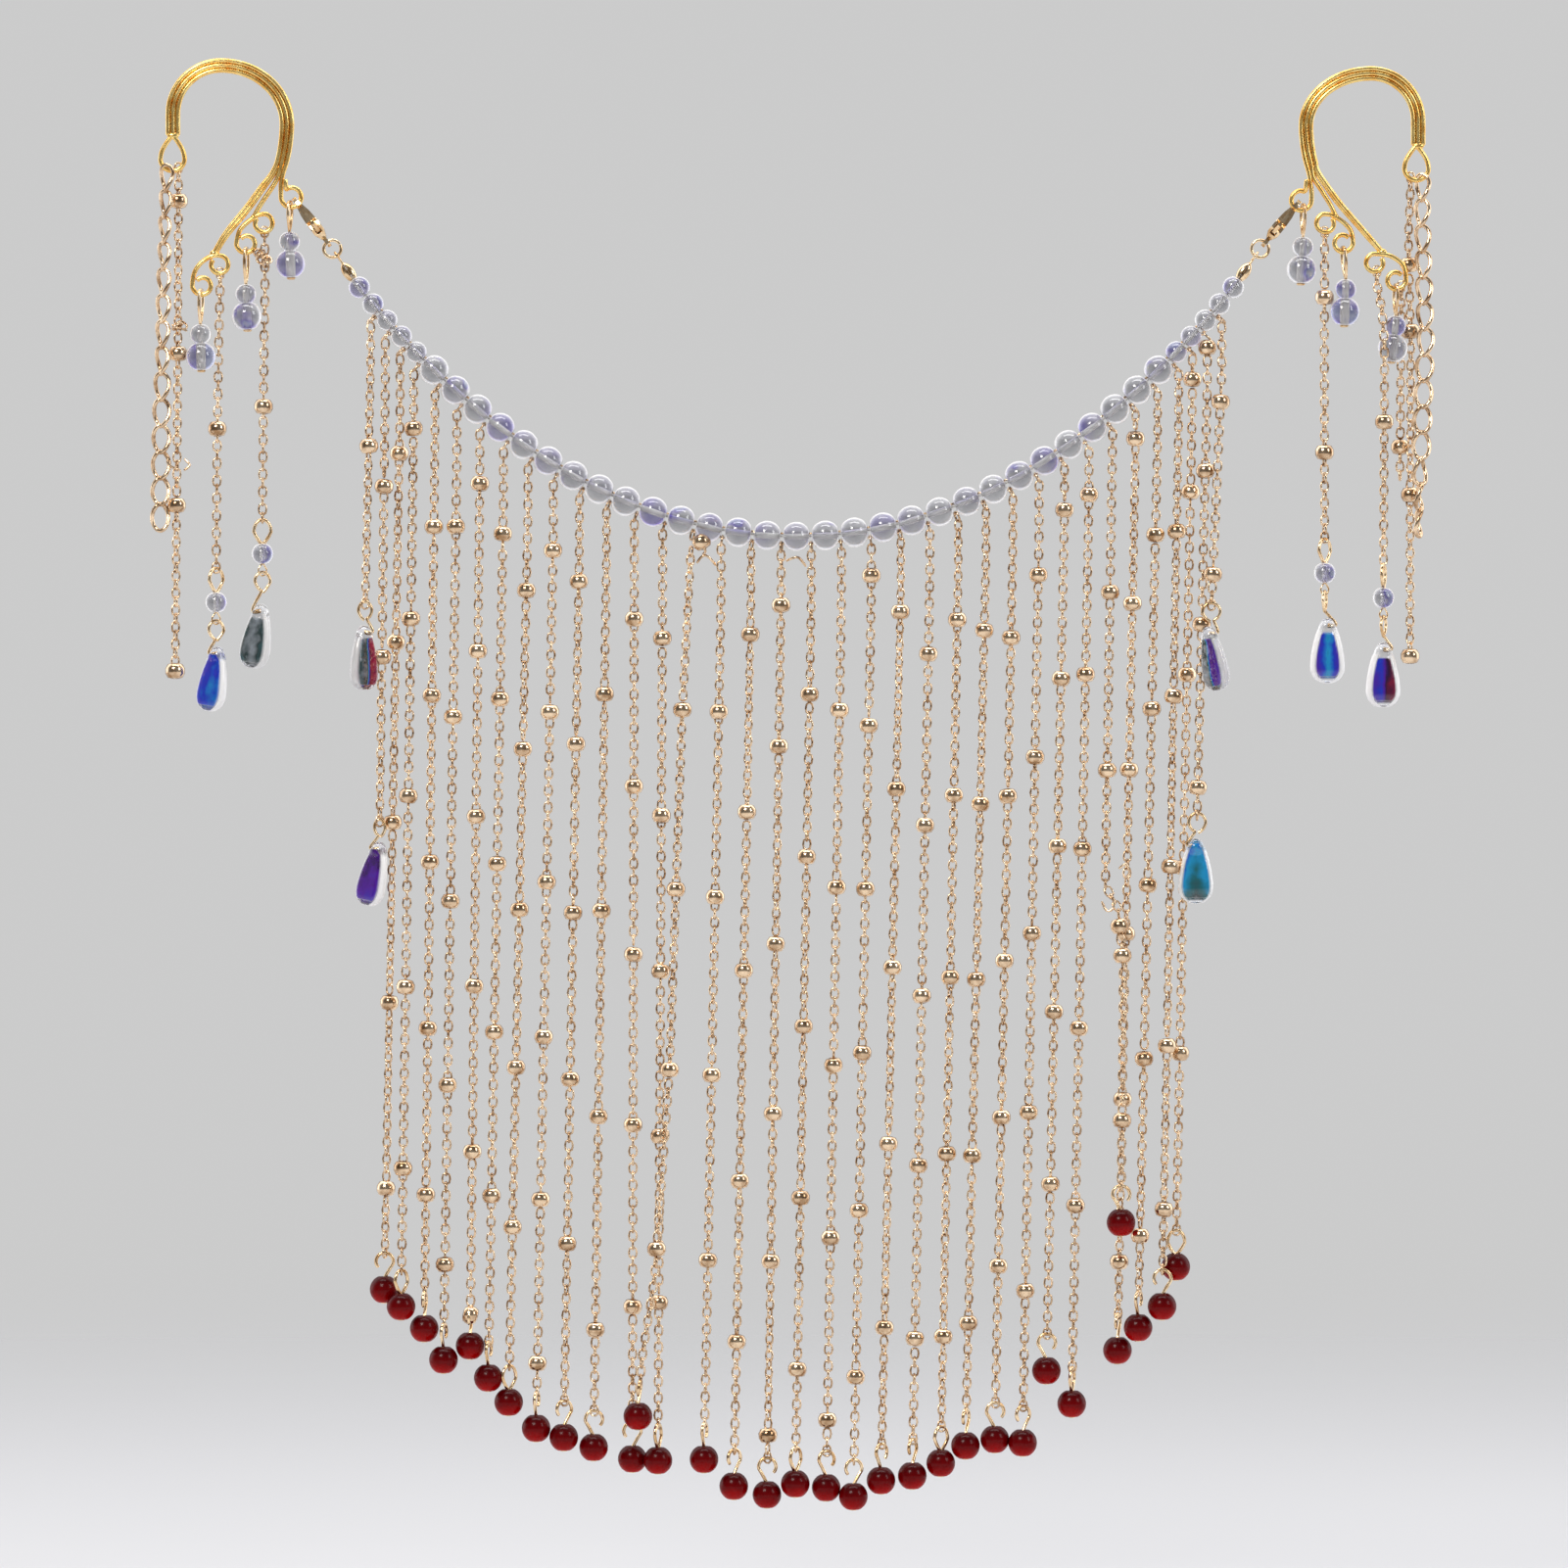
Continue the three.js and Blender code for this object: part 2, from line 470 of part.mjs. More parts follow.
function claspBody(hook) {
  const { frame, length } = claspFrame(hook);
  const { halfWidth: w, wall, gateEnd, pivot } = clasp;
  const neck = length - clasp.tailEye;
  // The claw's outline: round the back, over the bar to the hook's tip, along the opening to the cheeks.
  const outline = [
    [neck, -0.7], [neck - 1.4, -1.9], [neck - 3.4, -w], [2.6, -w + 0.1], [0.7, -w + 0.7], [-0.35, -1.2],
    [-0.5, 0], [-0.3, 1.3], [0.5, w - 0.6], [gateEnd, w - 0.2], [gateEnd, w - wall + 0.15],
    [1.0, 1.0], [0.5, 0.2], [0.6, -0.8], [1.6, -w + wall], [pivot[0] - 2.4, -w + wall + 0.1],
    [pivot[0] - 1.5, 0.2], [pivot[0] - 1.3, w - 0.3], [pivot[0], w], [neck - 1.4, 1.9], [neck, 0.7],
  ];
  const claw = plate(outline.reverse(), [], clasp.thickness);
  const taper = [
    [-1, -clasp.barR], [0.7, -clasp.barR], [3.6, -1.1], [pivot[0] - 2, -clasp.thickness / 2],
    [pivot[0] + 1, -clasp.thickness / 2], [neck, -0.6], [neck, 0.6], [pivot[0] + 1, clasp.thickness / 2],
    [pivot[0] - 2, clasp.thickness / 2], [3.6, 1.1], [0.7, clasp.barR], [-1, clasp.barR],
  ];
  const standing = new THREE.Matrix4().makeRotationX(Math.PI / 2);
  const envelope = placed(plate(taper, [], 4 * w), standing);
  const slotCut = plate([[pivot[0] - 3, 0.6], [pivot[0] + 1.35, 0.6], [pivot[0] + 1.35, w + 1], [pivot[0] - 3, w + 1]],
    [], clasp.slot);
  const pin = plate(ringOutline(...pivot, clasp.pinR, 6), [], clasp.thickness - 0.2);
  const tail = plate(ringOutline(length, 0, clasp.tailHole + 0.55, 8),
    [ringOutline(length, 0, clasp.tailHole, 8)], 0.9);
  const body = claw.intersect(envelope).subtract(slotCut).add(pin).add(tail);
  return placed(body, frame);
}

function claspLever(hook) {
  const { frame } = claspFrame(hook);
  const { pivot, hubR, leverArm, gateEnd } = clasp;
  const arm = pivot[1] + 0.25;
  const tip = gateEnd + clearance - 0.05;
  const outline = [
    [tip, arm - 0.1], [tip + 0.35, arm - leverArm / 2], [pivot[0] - 1.1, arm - leverArm / 2],
    ...[-120, -70, -20, 30].map((deg) => {
      const angle = THREE.MathUtils.degToRad(deg);
      return [pivot[0] + hubR * Math.cos(angle), pivot[1] + hubR * Math.sin(angle)];
    }),
    [pivot[0] - 0.2, pivot[1] + hubR], [pivot[0] - 1.1, arm + 1.5], [pivot[0] - 1.8, arm + 1.5],
    [pivot[0] - 2.1, arm + leverArm / 2], [tip + 0.35, arm + leverArm / 2],
  ];
  const lever = plate(outline, [ringOutline(...pivot, clasp.hubHole, 8)], clasp.leverThickness);
  return placed(lever, frame);
}

function jumpRingSolid(hook) {
  const { ring } = fastening(hook);
  const torus = new THREE.TorusGeometry(jumpRing.r, jumpRing.wire, 5, 12);
  torus.rotateX(Math.PI / 2);
  return toSolid(torus.translate(ring.x, 0, ring.y));
}

// An eye across the picture plane: over the curl's wire and down into what it carries.
function topEye({ x, z, level }, length, y = 0) {
  const top = z + (hookWire.r + eye.wire) / level + clearance;
  const half = eye.width / 2;
  return {
    top,
    bottom: top - length,
    solid: wire([
      at(x, top - length - 0.6, y - 0.42), at(x, top - length * 0.42, -half), at(x, top - 0.7, -half * 0.8),
      at(x, top, -0.5), at(x, top, 0.5), at(x, top - 0.7, half * 0.8), at(x, top - length * 0.42, half),
      at(x, top - length - 0.6, y + 0.42),
    ], eye.wire, eye.sides),
  };
}

function seatOf(hook, curlName, shift) {
  const [cx, cz] = hook[curlName];
  const r = { claspCurl: curl.clasp, curlB: curl.small, curlC: curl.small, curlD: curl.large, curlE: curl.large,
    backLoop: curl.back }[curlName];
  const fall = Math.sqrt(r * r - shift * shift);
  return { x: cx + shift, z: cz - fall, level: fall / r };
}

function crystalDrop(row) {
  const seat = seatOf(hooks[row.side], row.curl, row.shift);
  const { solid, bottom } = topEye(seat, row.eyeLength);
  const smallZ = bottom - row.small * 0.9;
  const largeZ = smallZ - row.small * 0.9 - row.large * 0.9;
  const beads = turned([...beadProfile(row.small, smallZ), ...beadProfile(row.large, largeZ)]);
  return join([solid, toSolid(beads.translate(seat.x, 0, 0))]);
}

function hangingChain(row) {
  const seat = seatOf(hooks[row.side], row.curl, row.shift);
  const { solid, bottom } = topEye(seat, row.eyeLength, row.y);
  const bends = row.path.map(([x, y, z]) => at(x, z, y));
  const foot = at(row.foot[0], row.foot[2], row.foot[1]);
  const solids = [solid, wire([at(seat.x, bottom, row.y), ...bends, foot], row.r, chain.sides)];
  if (row.ball) solids.push(roundBead(row.ball.r, foot.x, foot.y, foot.z));
  if (row.crystal) {
    solids.push(roundBead(beadKinds.small.r, foot.x, 0, row.crystal));
    solids.push(wire([foot, at(row.tear.x, row.tear.top - 1, 0)], 0.6, 5));
    solids.push(teardrop(row.tear.x, 0, row.tear.top, row.tear.tilt));
  }
  return join(solids);
}

const faceVeil = new THREE.Group();

function addPiece(name, solid, finish) {
  const mesh = new THREE.Mesh(toGeometry(solid), new THREE.MeshStandardMaterial(palette[finish]));
  mesh.name = name;
  faceVeil.add(mesh);
}

addPiece('bead_string', beadString(), 'crystal');
strandRows.forEach((row) => addPiece(`strand_${String(row.gap).padStart(2, '0')}`, strand(row), 'paleGold'));
hookRows.forEach((hook) => {
  addPiece(`ear_hook_${hook.name}`, earHook(hook), 'gold');
  addPiece(`clasp_${hook.name}`, claspBody(hook), 'paleGold');
  addPiece(`clasp_lever_${hook.name}`, claspLever(hook), 'paleGold');
  addPiece(`jump_ring_${hook.name}`, jumpRingSolid(hook), 'paleGold');
});
crystalDrops.forEach((row) => addPiece(`crystal_drop_${row.name}_${row.side}`, crystalDrop(row), 'crystal'));
hangingChains.forEach((row) => addPiece(row.name, hangingChain(row), 'paleGold'));

export default faceVeil;
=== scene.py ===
import math
import random

import bpy
import numpy as np
from mathutils import Matrix, Vector


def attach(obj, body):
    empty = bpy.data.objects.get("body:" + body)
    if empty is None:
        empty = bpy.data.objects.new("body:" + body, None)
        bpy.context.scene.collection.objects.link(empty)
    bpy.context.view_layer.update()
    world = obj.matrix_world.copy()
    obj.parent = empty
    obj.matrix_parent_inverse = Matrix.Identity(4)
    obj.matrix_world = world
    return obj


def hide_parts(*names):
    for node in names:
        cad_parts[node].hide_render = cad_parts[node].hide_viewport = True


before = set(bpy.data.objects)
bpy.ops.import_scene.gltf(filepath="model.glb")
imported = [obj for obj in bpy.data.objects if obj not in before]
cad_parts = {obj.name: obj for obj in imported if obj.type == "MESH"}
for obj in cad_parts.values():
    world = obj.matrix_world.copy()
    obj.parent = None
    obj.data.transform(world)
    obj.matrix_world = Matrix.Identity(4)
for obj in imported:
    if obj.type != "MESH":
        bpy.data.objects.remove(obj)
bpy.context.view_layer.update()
mm = 0.001
random.seed(7)
root = "root"


# ---------- node tools
def ramp(node, stops):
    points = node.color_ramp.elements
    while len(points) < len(stops):
        points.new(0.5)
    for point, (place, colour) in zip(points, stops):
        point.position = place
        point.color = (*colour, 1)


def nodeAdder(tree):
    # the function it returns makes a node, sets it up and links outputs to its sockets
    def add(kind, links=(), **settings):
        node = tree.nodes.new("ShaderNode" + kind)
        for key, value in settings.items():
            if key in node.inputs:
                node.inputs[key].default_value = value
            else:
                setattr(node, key, value)
        for output, socket in links:
            feed(node, socket, output)
        return node

    return add


def feed(node, socket, output):
    node.id_data.links.new(output, node.inputs[socket])


def setSockets(node, values):
    for socket, value in values.items():
        node.inputs[socket].default_value = value


def nodeKit(name):
    # a new material, its shader, its node adder and the object coordinates
    material = bpy.data.materials.new(name)
    material.use_nodes = True
    add = nodeAdder(material.node_tree)
    return material, material.node_tree.nodes["Principled BSDF"], add, add("TexCoord").outputs["Object"]


def spread(add, output, fromRange=(0, 1), toRange=(0, 1), shape="LINEAR"):
    node = add("MapRange", [(output, "Value")], interpolation_type=shape)
    setSockets(node, dict(zip(("From Min", "From Max", "To Min", "To Max"), (*fromRange, *toRange))))
    return node.outputs["Result"]


def calc(add, operation, *terms):
    # each term is a number or another node's output
    node = add("Math", operation=operation)
    for i, term in enumerate(terms):
        if isinstance(term, (int, float)):
            node.inputs[i].default_value = term
        else:
            feed(node, i, term)
    return node.outputs["Value"]


def noise(add, spot, scale, detail=2.0):
    return add("TexNoise", [(spot, "Vector")], Scale=scale, Detail=detail).outputs["Fac"]


# ---------- camera, light and stand-in studio
studio = {
    "viewMm": 352.2,  # width of the picture at the object
    "centreMm": (-2.75, -159.2),
    "distanceMm": 2400,
    "sensorMm": 36,
    "floorMm": -352,
    "floorSize": 6,
    "floorFadeMm": (450, 1900),  # how far from the object the floor begins to fade, and is gone
    "paper": {"Base Color": (0.62, 0.62, 0.632, 1), "Roughness": 0.9},
    # brightness of the tent round the object, from in front of it to behind it
    "tent": [(0.0, 0.2), (0.34, 0.14), (0.48, 0.5), (0.58, 1.5), (0.68, 1.9), (0.78, 1.9), (0.87, 0.7), (1.0, 0.42)],
    "coolness": 1.02,  # the tent's blue against its red and green
    "horizon": 0.6,  # what the camera itself sees beyond the floor
    "lookAt": (0, 0, -0.16),
}
# name, place, size, watts and tint
lights = [
    ("keyLight", (-0.7, -1.5, 1.0), (0.6, 0.6), 17, (1, 0.97, 0.93)),
    ("sideLight", (1.3, -0.9, 0.55), (0.4, 0.8), 6, (0.96, 0.98, 1)),
    ("topLight", (0, -0.15, 1.2), (1.4, 0.3), 8, (1, 1, 1)),
]


def addLight(name, place, size, watts, tint):
    bpy.ops.object.light_add(type="AREA", location=place)
    light = bpy.context.object
    light.name = name
    light.data.shape = "RECTANGLE"
    light.data.size, light.data.size_y = size
    light.data.energy = watts
    light.data.color = tint
    light.visible_camera = False
    direction = Vector(studio["lookAt"]) - light.location
    light.rotation_euler = direction.to_track_quat("-Z", "Y").to_euler()


def addCamera():
    x, z = (value * mm for value in studio["centreMm"])
    bpy.ops.object.camera_add(location=(x, -studio["distanceMm"] * mm, z), rotation=(math.pi / 2, 0, 0))
    camera = bpy.context.object
    camera.name = "camera"
    camera.data.sensor_width = studio["sensorMm"]
    camera.data.lens = studio["sensorMm"] * studio["distanceMm"] / studio["viewMm"]
    camera.data.clip_end = 30
    bpy.context.scene.camera = camera


def addFloor():
    # a sheet of paper on the floor, fading into the background all round
    bpy.ops.mesh.primitive_plane_add(size=studio["floorSize"], location=(0, 0, studio["floorMm"] * mm))
    sheet = bpy.context.object
    sheet.name = sheet.data.name = "paperFloor"
    paper, shader, add, spot = nodeKit("paper")
    setSockets(shader, studio["paper"])
    reach = add("VectorMath", [(spot, 0)], operation="LENGTH").outputs["Value"]
    feed(shader, "Alpha", spread(add, reach, [edge * mm for edge in studio["floorFadeMm"]], (1, 0), "SMOOTHSTEP"))
    sheet.data.materials.append(paper)


def lightTent():
    world = bpy.context.scene.world or bpy.data.worlds.new("studio")
    bpy.context.scene.world = world
    world.use_nodes = True
    world.node_tree.nodes.clear()
    add = nodeAdder(world.node_tree)
    depth = add("SeparateXYZ", [(add("TexCoord").outputs["Generated"], 0)]).outputs["Y"]
    tent = add("ValToRGB", [(spread(add, depth, (-1, 1)), "Fac")])
    ramp(tent, [(stop, (level, level, level * studio["coolness"])) for stop, level in studio["tent"]])
    seen = add("LightPath").outputs["Is Camera Ray"]
    mix = add("MixRGB", [(seen, "Fac"), (tent.outputs["Color"], "Color1")], Color2=(*[studio["horizon"]] * 3, 1))
    glow = add("Background", [(mix.outputs["Color"], "Color")])
    add("OutputWorld", [(glow.outputs["Background"], "Surface")])
    bpy.context.scene.view_settings.view_transform = "Standard"


addCamera()
addFloor()
for light in lights:
    addLight(*light)
lightTent()
print("studio ready")


# ---------- finishes
goldTones = {
    "hookGold": {"low": (0.92, 0.5, 0.11), "high": (1.0, 0.74, 0.28), "rough": (0.2, 0.32)},
    "chainGold": {"low": (0.38, 0.22, 0.11), "high": (0.93, 0.71, 0.48), "rough": (0.1, 0.24)},
    "findingGold": {"low": (0.62, 0.37, 0.16), "high": (1.0, 0.78, 0.5), "rough": (0.1, 0.24)},
}
# scale and detail of the noises, stops of the cloudy colour, and the bump's strength and distance
goldSkin = {"clouds": (420.0, 5.0), "handling": (1500.0, 3.0), "grain": (5200.0, 2.0), "stops": (0.32, 0.6),
            "bump": (0.1, 0.00002)}
smearScale = 900.0


def makeGold(name):
    tone = goldTones[name]
    material, shader, add, spot = nodeKit(name)
    colour = add("ValToRGB", [(noise(add, spot, *goldSkin["clouds"]), "Fac")])
    ramp(colour, list(zip(goldSkin["stops"], (tone["low"], tone["high"]))))
    feed(shader, "Base Color", colour.outputs["Color"])
    feed(shader, "Roughness", spread(add, noise(add, spot, *goldSkin["handling"]), toRange=tone["rough"]))
    strength, distance = goldSkin["bump"]
    grain = noise(add, spot, *goldSkin["grain"])
    bump = add("Bump", [(grain, "Height")], Strength=strength, Distance=distance)
    feed(shader, "Normal", bump.outputs["Normal"])
    setSockets(shader, {"Metallic": 1})
    return material


def heartColour(add, spot, look):
    # the attribute picks the colour, painted light and shade with it on the red and crystal beads and the teardrops,
    # drifting a little from place to place
    toneAndPaintedLight = add("Attribute", attribute_name="toneAndPaintedLight").outputs["Fac"]
    drift = calc(add, "MULTIPLY_ADD", noise(add, spot, look["patches"]), look["drift"], -look["drift"] / 2)
    colour = add("ValToRGB", [(calc(add, "ADD", toneAndPaintedLight, drift), "Fac")])
    ramp(colour, look["stops"])
    return colour.outputs["Color"]


def makeCoatedGlass(name, look):
    # clear glass with a violet and blue lustre painted into its colour: on the beads the greys are painted shade and
    # the violet and blue a painted reflection.
    # The piece's own attributes say where: one gives the hue, coat the coated face, and a third the ground or white
    # places, the teardrops' painted white rim among them
    material, shader, add, spot = nodeKit(name)
    hue = heartColour(add, spot, look)
    coated = spread(add, add("Attribute", attribute_name="coat").outputs["Fac"], (0.35, 0.65))
    tint = add("MixRGB", [(coated, "Fac"), (hue, "Color2")], Color1=(0.97, 0.975, 0.99, 1))
    # painted rim light: the base colour turns white where the surface turns away from the view, and the drilled or
    # ground places are white
    facing = add("LayerWeight", Blend=0.5).outputs["Facing"]
    frostAndPaintedRim = add("Attribute", attribute_name="frostAndPaintedRim").outputs["Fac"]
    paintedRimAndFrostLevel = calc(add, "MAXIMUM", spread(add, facing, look["rim"], (0, look["paintedRimLightLevel"])), frostAndPaintedRim)
    white = add("MixRGB", [(paintedRimAndFrostLevel, "Fac"), (tint.outputs["Color"], "Color1")], Color2=(1, 0.99, 0.98, 1))
    feed(shader, "Base Color", white.outputs["Color"])
    gloss = spread(add, noise(add, spot, smearScale), toRange=look["rough"])
    feed(shader, "Roughness", calc(add, "MULTIPLY_ADD", frostAndPaintedRim, look["groundRough"], gloss))
    # the coating, the painted white rim and the white places let less light through
    shade = calc(add, "MULTIPLY_ADD", coated, look["coatShade"], paintedRimAndFrostLevel)
    feed(shader, "Transmission Weight", spread(add, shade, toRange=look["clear"]))
    setSockets(shader, look["sockets"])
    return material


def makeTinted(name, look):
    # glass or silk coloured through, from its dark end to its bright end along the attribute; on the red glass the
    # bright end is painted light low on each bead
    material, shader, add, spot = nodeKit(name)
    feed(shader, "Base Color", heartColour(add, spot, look))
    feed(shader, "Roughness", spread(add, noise(add, spot, smearScale), toRange=look["rough"]))
    setSockets(shader, look["sockets"])
    return material


coating = {"groundRough": 0.4, "clear": (1.0, 0.08)}
coatedLooks = {
    # painted shade and reflection: the greys darken the clear glass, and the violet and blue stand in for the coat's
    # coloured reflections
    "crystalGlass": {
        "stops": [(0.0, (0.68, 0.68, 0.69)), (0.3, (0.52, 0.52, 0.54)), (0.42, (0.4, 0.37, 0.56)),
                  (0.52, (0.1, 0.07, 0.46)), (0.62, (0.3, 0.36, 0.64)), (0.74, (0.62, 0.54, 0.54))],
        "patches": 260.0, "drift": 1.1, "rim": (0.48, 0.66), "paintedRimLightLevel": 1.0, "rough": (0.0, 0.03),
        "coatShade": 0.0, "sockets": {"IOR": 1.5, "Coat Weight": 0.6, "Coat Roughness": 0.02}, **coating},
    # partly painted: the teal, blue and violet are the coating's colour, the near-black stops painted shade and the red
    # end a painted reflection
    "teardropGlass": {
        "stops": [(0.0, (0.34, 0.38, 0.42)), (0.1, (0.04, 0.06, 0.06)), (0.24, (0.01, 0.15, 0.18)),
                  (0.38, (0.012, 0.36, 0.7)), (0.52, (0.01, 0.04, 0.6)), (0.7, (0.1, 0.008, 0.38)),
                  (0.84, (0.02, 0.0, 0.04)), (1.0, (0.34, 0.006, 0.04))],
        "patches": 420.0, "drift": 0.26, "rim": (0.5, 0.72), "paintedRimLightLevel": 0.85, "rough": (0.0, 0.04),
        "coatShade": 0.72, "sockets": {"IOR": 1.52, "Coat Weight": 0.6, "Coat Roughness": 0.02}, **coating},
}
tintedLooks = {
    # painted light: the dark stop is the top of each red bead and the bright red stop the glow painted at its bottom
    "redGlass": {
        "stops": [(0.1, (0.06, 0.0, 0.001)), (0.5, (0.16, 0.0, 0.001)), (0.95, (0.5, 0.001, 0.001))],
        "patches": 230.0, "drift": 0.3, "rough": (0.2, 0.34),
        "sockets": {"Transmission Weight": 0.03, "Coat Weight": 0.13, "Coat Roughness": 0.05,
                    "Specular IOR Level": 0.05}},
    "threadSilk": {
        "stops": [(0.2, (0.82, 0.8, 0.76)), (0.8, (0.95, 0.94, 0.91))],
        "patches": 900.0, "drift": 0.9, "rough": (0.5, 0.8), "sockets": {"Sheen Weight": 0.4}},
}
finishes = {name: makeGold(name) for name in goldTones}
finishes.update((name, makeCoatedGlass(name, look)) for name, look in coatedLooks.items())
finishes.update((name, makeTinted(name, look)) for name, look in tintedLooks.items())
print("finishes ready")


# ---------- small tools
def clamp(value):
    return max(0.0, min(1.0, value))


def flat(x, z, y=0.0):
    # a place in the picture plane, from millimetres
    return Vector((x * mm, y * mm, z * mm))


def newObject(name, data):
    obj = bpy.data.objects.new(name, data)
    bpy.context.collection.objects.link(obj)
    return obj


def dress(piece, finish):
    piece.data.materials.clear()
    piece.data.materials.append(finishes[finish])


def applyModifier(kind, **settings):
    bpy.ops.object.modifier_add(type=kind)
    modifier = bpy.context.object.modifiers[-1]
    for key, value in settings.items():
        setattr(modifier, key, value)
    bpy.ops.object.modifier_apply(modifier=modifier.name)


def deselectAll():
    if bpy.context.object and bpy.context.object.mode != "OBJECT":
        bpy.ops.object.mode_set(mode="OBJECT")
    bpy.ops.object.select_all(action="DESELECT")


def pick(obj):
    deselectAll()
    obj.select_set(True)
    bpy.context.view_layer.objects.active = obj


def settle(obj, degrees=None):
    pick(obj)
    bpy.ops.object.transform_apply(location=True, rotation=True, scale=True)
    if degrees is None:
        bpy.ops.object.shade_smooth()
    else:
        bpy.ops.object.shade_smooth_by_angle(angle=math.radians(degrees))
    return obj


def selectWhere(obj, test):
    # vertices that pass the test are selected, and edit mode is left on
    pick(obj)
    bpy.ops.object.mode_set(mode="EDIT")
    bpy.ops.mesh.select_mode(type="VERT")
    bpy.ops.mesh.select_all(action="DESELECT")
    bpy.ops.object.mode_set(mode="OBJECT")
    for vertex in obj.data.vertices:
        vertex.select = bool(test(vertex.co))
    bpy.ops.object.mode_set(mode="EDIT")


def reshape(obj, move):
    for vertex in obj.data.vertices:
        vertex.co = move(vertex.co)


def spunShape(name, profile, steps):
    # a half profile in millimetres in the XZ plane, spun round Z; a zero radius closes an end
    outline = bpy.data.meshes.new(name)
    edges = [(i, i + 1) for i in range(len(profile) - 1)]
    outline.from_pydata([(r * mm, 0, z * mm) for r, z in profile], edges, [])
    shape = newObject(name, outline)
    pick(shape)
    bpy.ops.object.mode_set(mode="EDIT")
    bpy.ops.mesh.select_all(action="SELECT")
    bpy.ops.mesh.spin(steps=steps, angle=math.tau, center=(0, 0, 0), axis=(0, 0, 1))
    bpy.ops.mesh.select_all(action="SELECT")
    bpy.ops.mesh.remove_doubles(threshold=1e-6)
    bpy.ops.mesh.select_all(action="SELECT")
    bpy.ops.mesh.normals_make_consistent(inside=False)
    bpy.ops.object.mode_set(mode="OBJECT")
    return settle(shape, 50)


def copies(name, model, places, finish, marks=None):
    # one mesh of its own, holding the model once at each place, with the model's marks or those given
    source = model.data
    count = len(source.vertices)
    points = np.empty(count * 3)
    source.vertices.foreach_get("co", points)
    points = np.c_[points.reshape(-1, 3), np.ones(count)]
    faces = [tuple(face.vertices) for face in source.polygons]
    smooth = [face.use_smooth for face in source.polygons]
    verts = np.vstack([(points @ np.array(place).T)[:, :3] for place in places])
    allFaces = [tuple(v + i * count for v in face) for i in range(len(places)) for face in faces]
    mesh = bpy.data.meshes.new(name)
    mesh.from_pydata(verts.tolist(), [], allFaces)
    mesh.polygons.foreach_set("use_smooth", smooth * len(places))
    for mark in ("toneAndPaintedLight", "frostAndPaintedRim", "coat"):
        if marks:
            levels = [clamp(marks[mark](vertex.co)) for vertex in source.vertices]
        elif mark in source.attributes:
            levels = [entry.value for entry in source.attributes[mark].data]
        else:
            continue
        mesh.attributes.new(mark, "FLOAT", "POINT").data.foreach_set("value", levels * len(places))
    mesh.materials.append(finishes[finish])
    return newObject(name, mesh)


def joinAll(name, parts):
    deselectAll()
    for part in parts:
        part.select_set(True)
    bpy.context.view_layer.objects.active = parts[0]
    if len(parts) > 1:
        bpy.ops.object.join()
    joined = bpy.context.object
    joined.name = joined.data.name = name
    return joined


def setMark(obj, mark, level):
    mesh = obj.data
    mesh.attributes.new(mark, "FLOAT", "POINT")
    mesh.attributes[mark].data.foreach_set("value", [clamp(level(v.co)) for v in mesh.vertices])


def smoothPath(points, steps=6, closed=False):
    points = [Vector(p) for p in points]
    count = len(points)
    result = []
    for i in range(count if closed else count - 1):
        near = [points[(i + k) % count] if closed else points[min(max(i + k, 0), count - 1)] for k in (-1, 0, 1, 2)]
        for step in range(steps):
            t = step / steps
            a, b, c, d = near
            result.append(0.5 * (2 * b + (c - a) * t + (2 * a - 5 * b + 4 * c - d) * t * t
                                 + (3 * b - 3 * c + d - a) * t ** 3))
    if not closed:
        result.append(points[-1])
    return result


def wirePiece(name, points, radius, sides=8, closed=False, finish="findingGold", taper=1.0):
    # points in metres, radius in millimetres; the wire's ends are rounded by a short taper
    curve = bpy.data.curves.new(name, "CURVE")
    curve.dimensions = "3D"
    line = curve.splines.new("POLY")
    line.points.add(len(points) - 1)
    for i, (knot, place) in enumerate(zip(line.points, points)):
        knot.co = (*place, 1)
        knot.radius = taper if not closed and i in (0, len(points) - 1) else 1
    line.use_cyclic_u = closed
    curve.bevel_depth = radius * mm
    curve.bevel_resolution = max(0, sides // 2 - 2)
    curve.use_fill_caps = True
    pick(newObject(name, curve))
    bpy.ops.object.convert(target="MESH")
    wire = bpy.context.object
    wire.name = name
    dress(wire, finish)
    return settle(wire, 60)


def finishPiece(piece, node, body=root):
    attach(piece, body)
    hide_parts(node)


def placeAt(point, down=Vector((0, 0, -1)), turn=0.0, scale=1.0):
    # the model's -Z goes along down, after a turn about it
    toLine = Vector((0, 0, -1)).rotation_difference(Vector(down).normalized()).to_matrix().to_4x4()
    return Matrix.Translation(point) @ toLine @ Matrix.Rotation(turn, 4, "Z") @ Matrix.Scale(scale, 4)


# ---------- models made once: links, satellite beads, eyes, glass beads
linkSizes = {
    "cable": {"length": 2.95, "width": 2.26, "wire": 0.52, "steps": (10, 5), "pitch": 1.9},
    "curb": {"length": 7.1, "width": 4.7, "wire": 0.98, "steps": (22, 8), "pitch": 5.5, "twist": 76, "bow": 0.25},
}


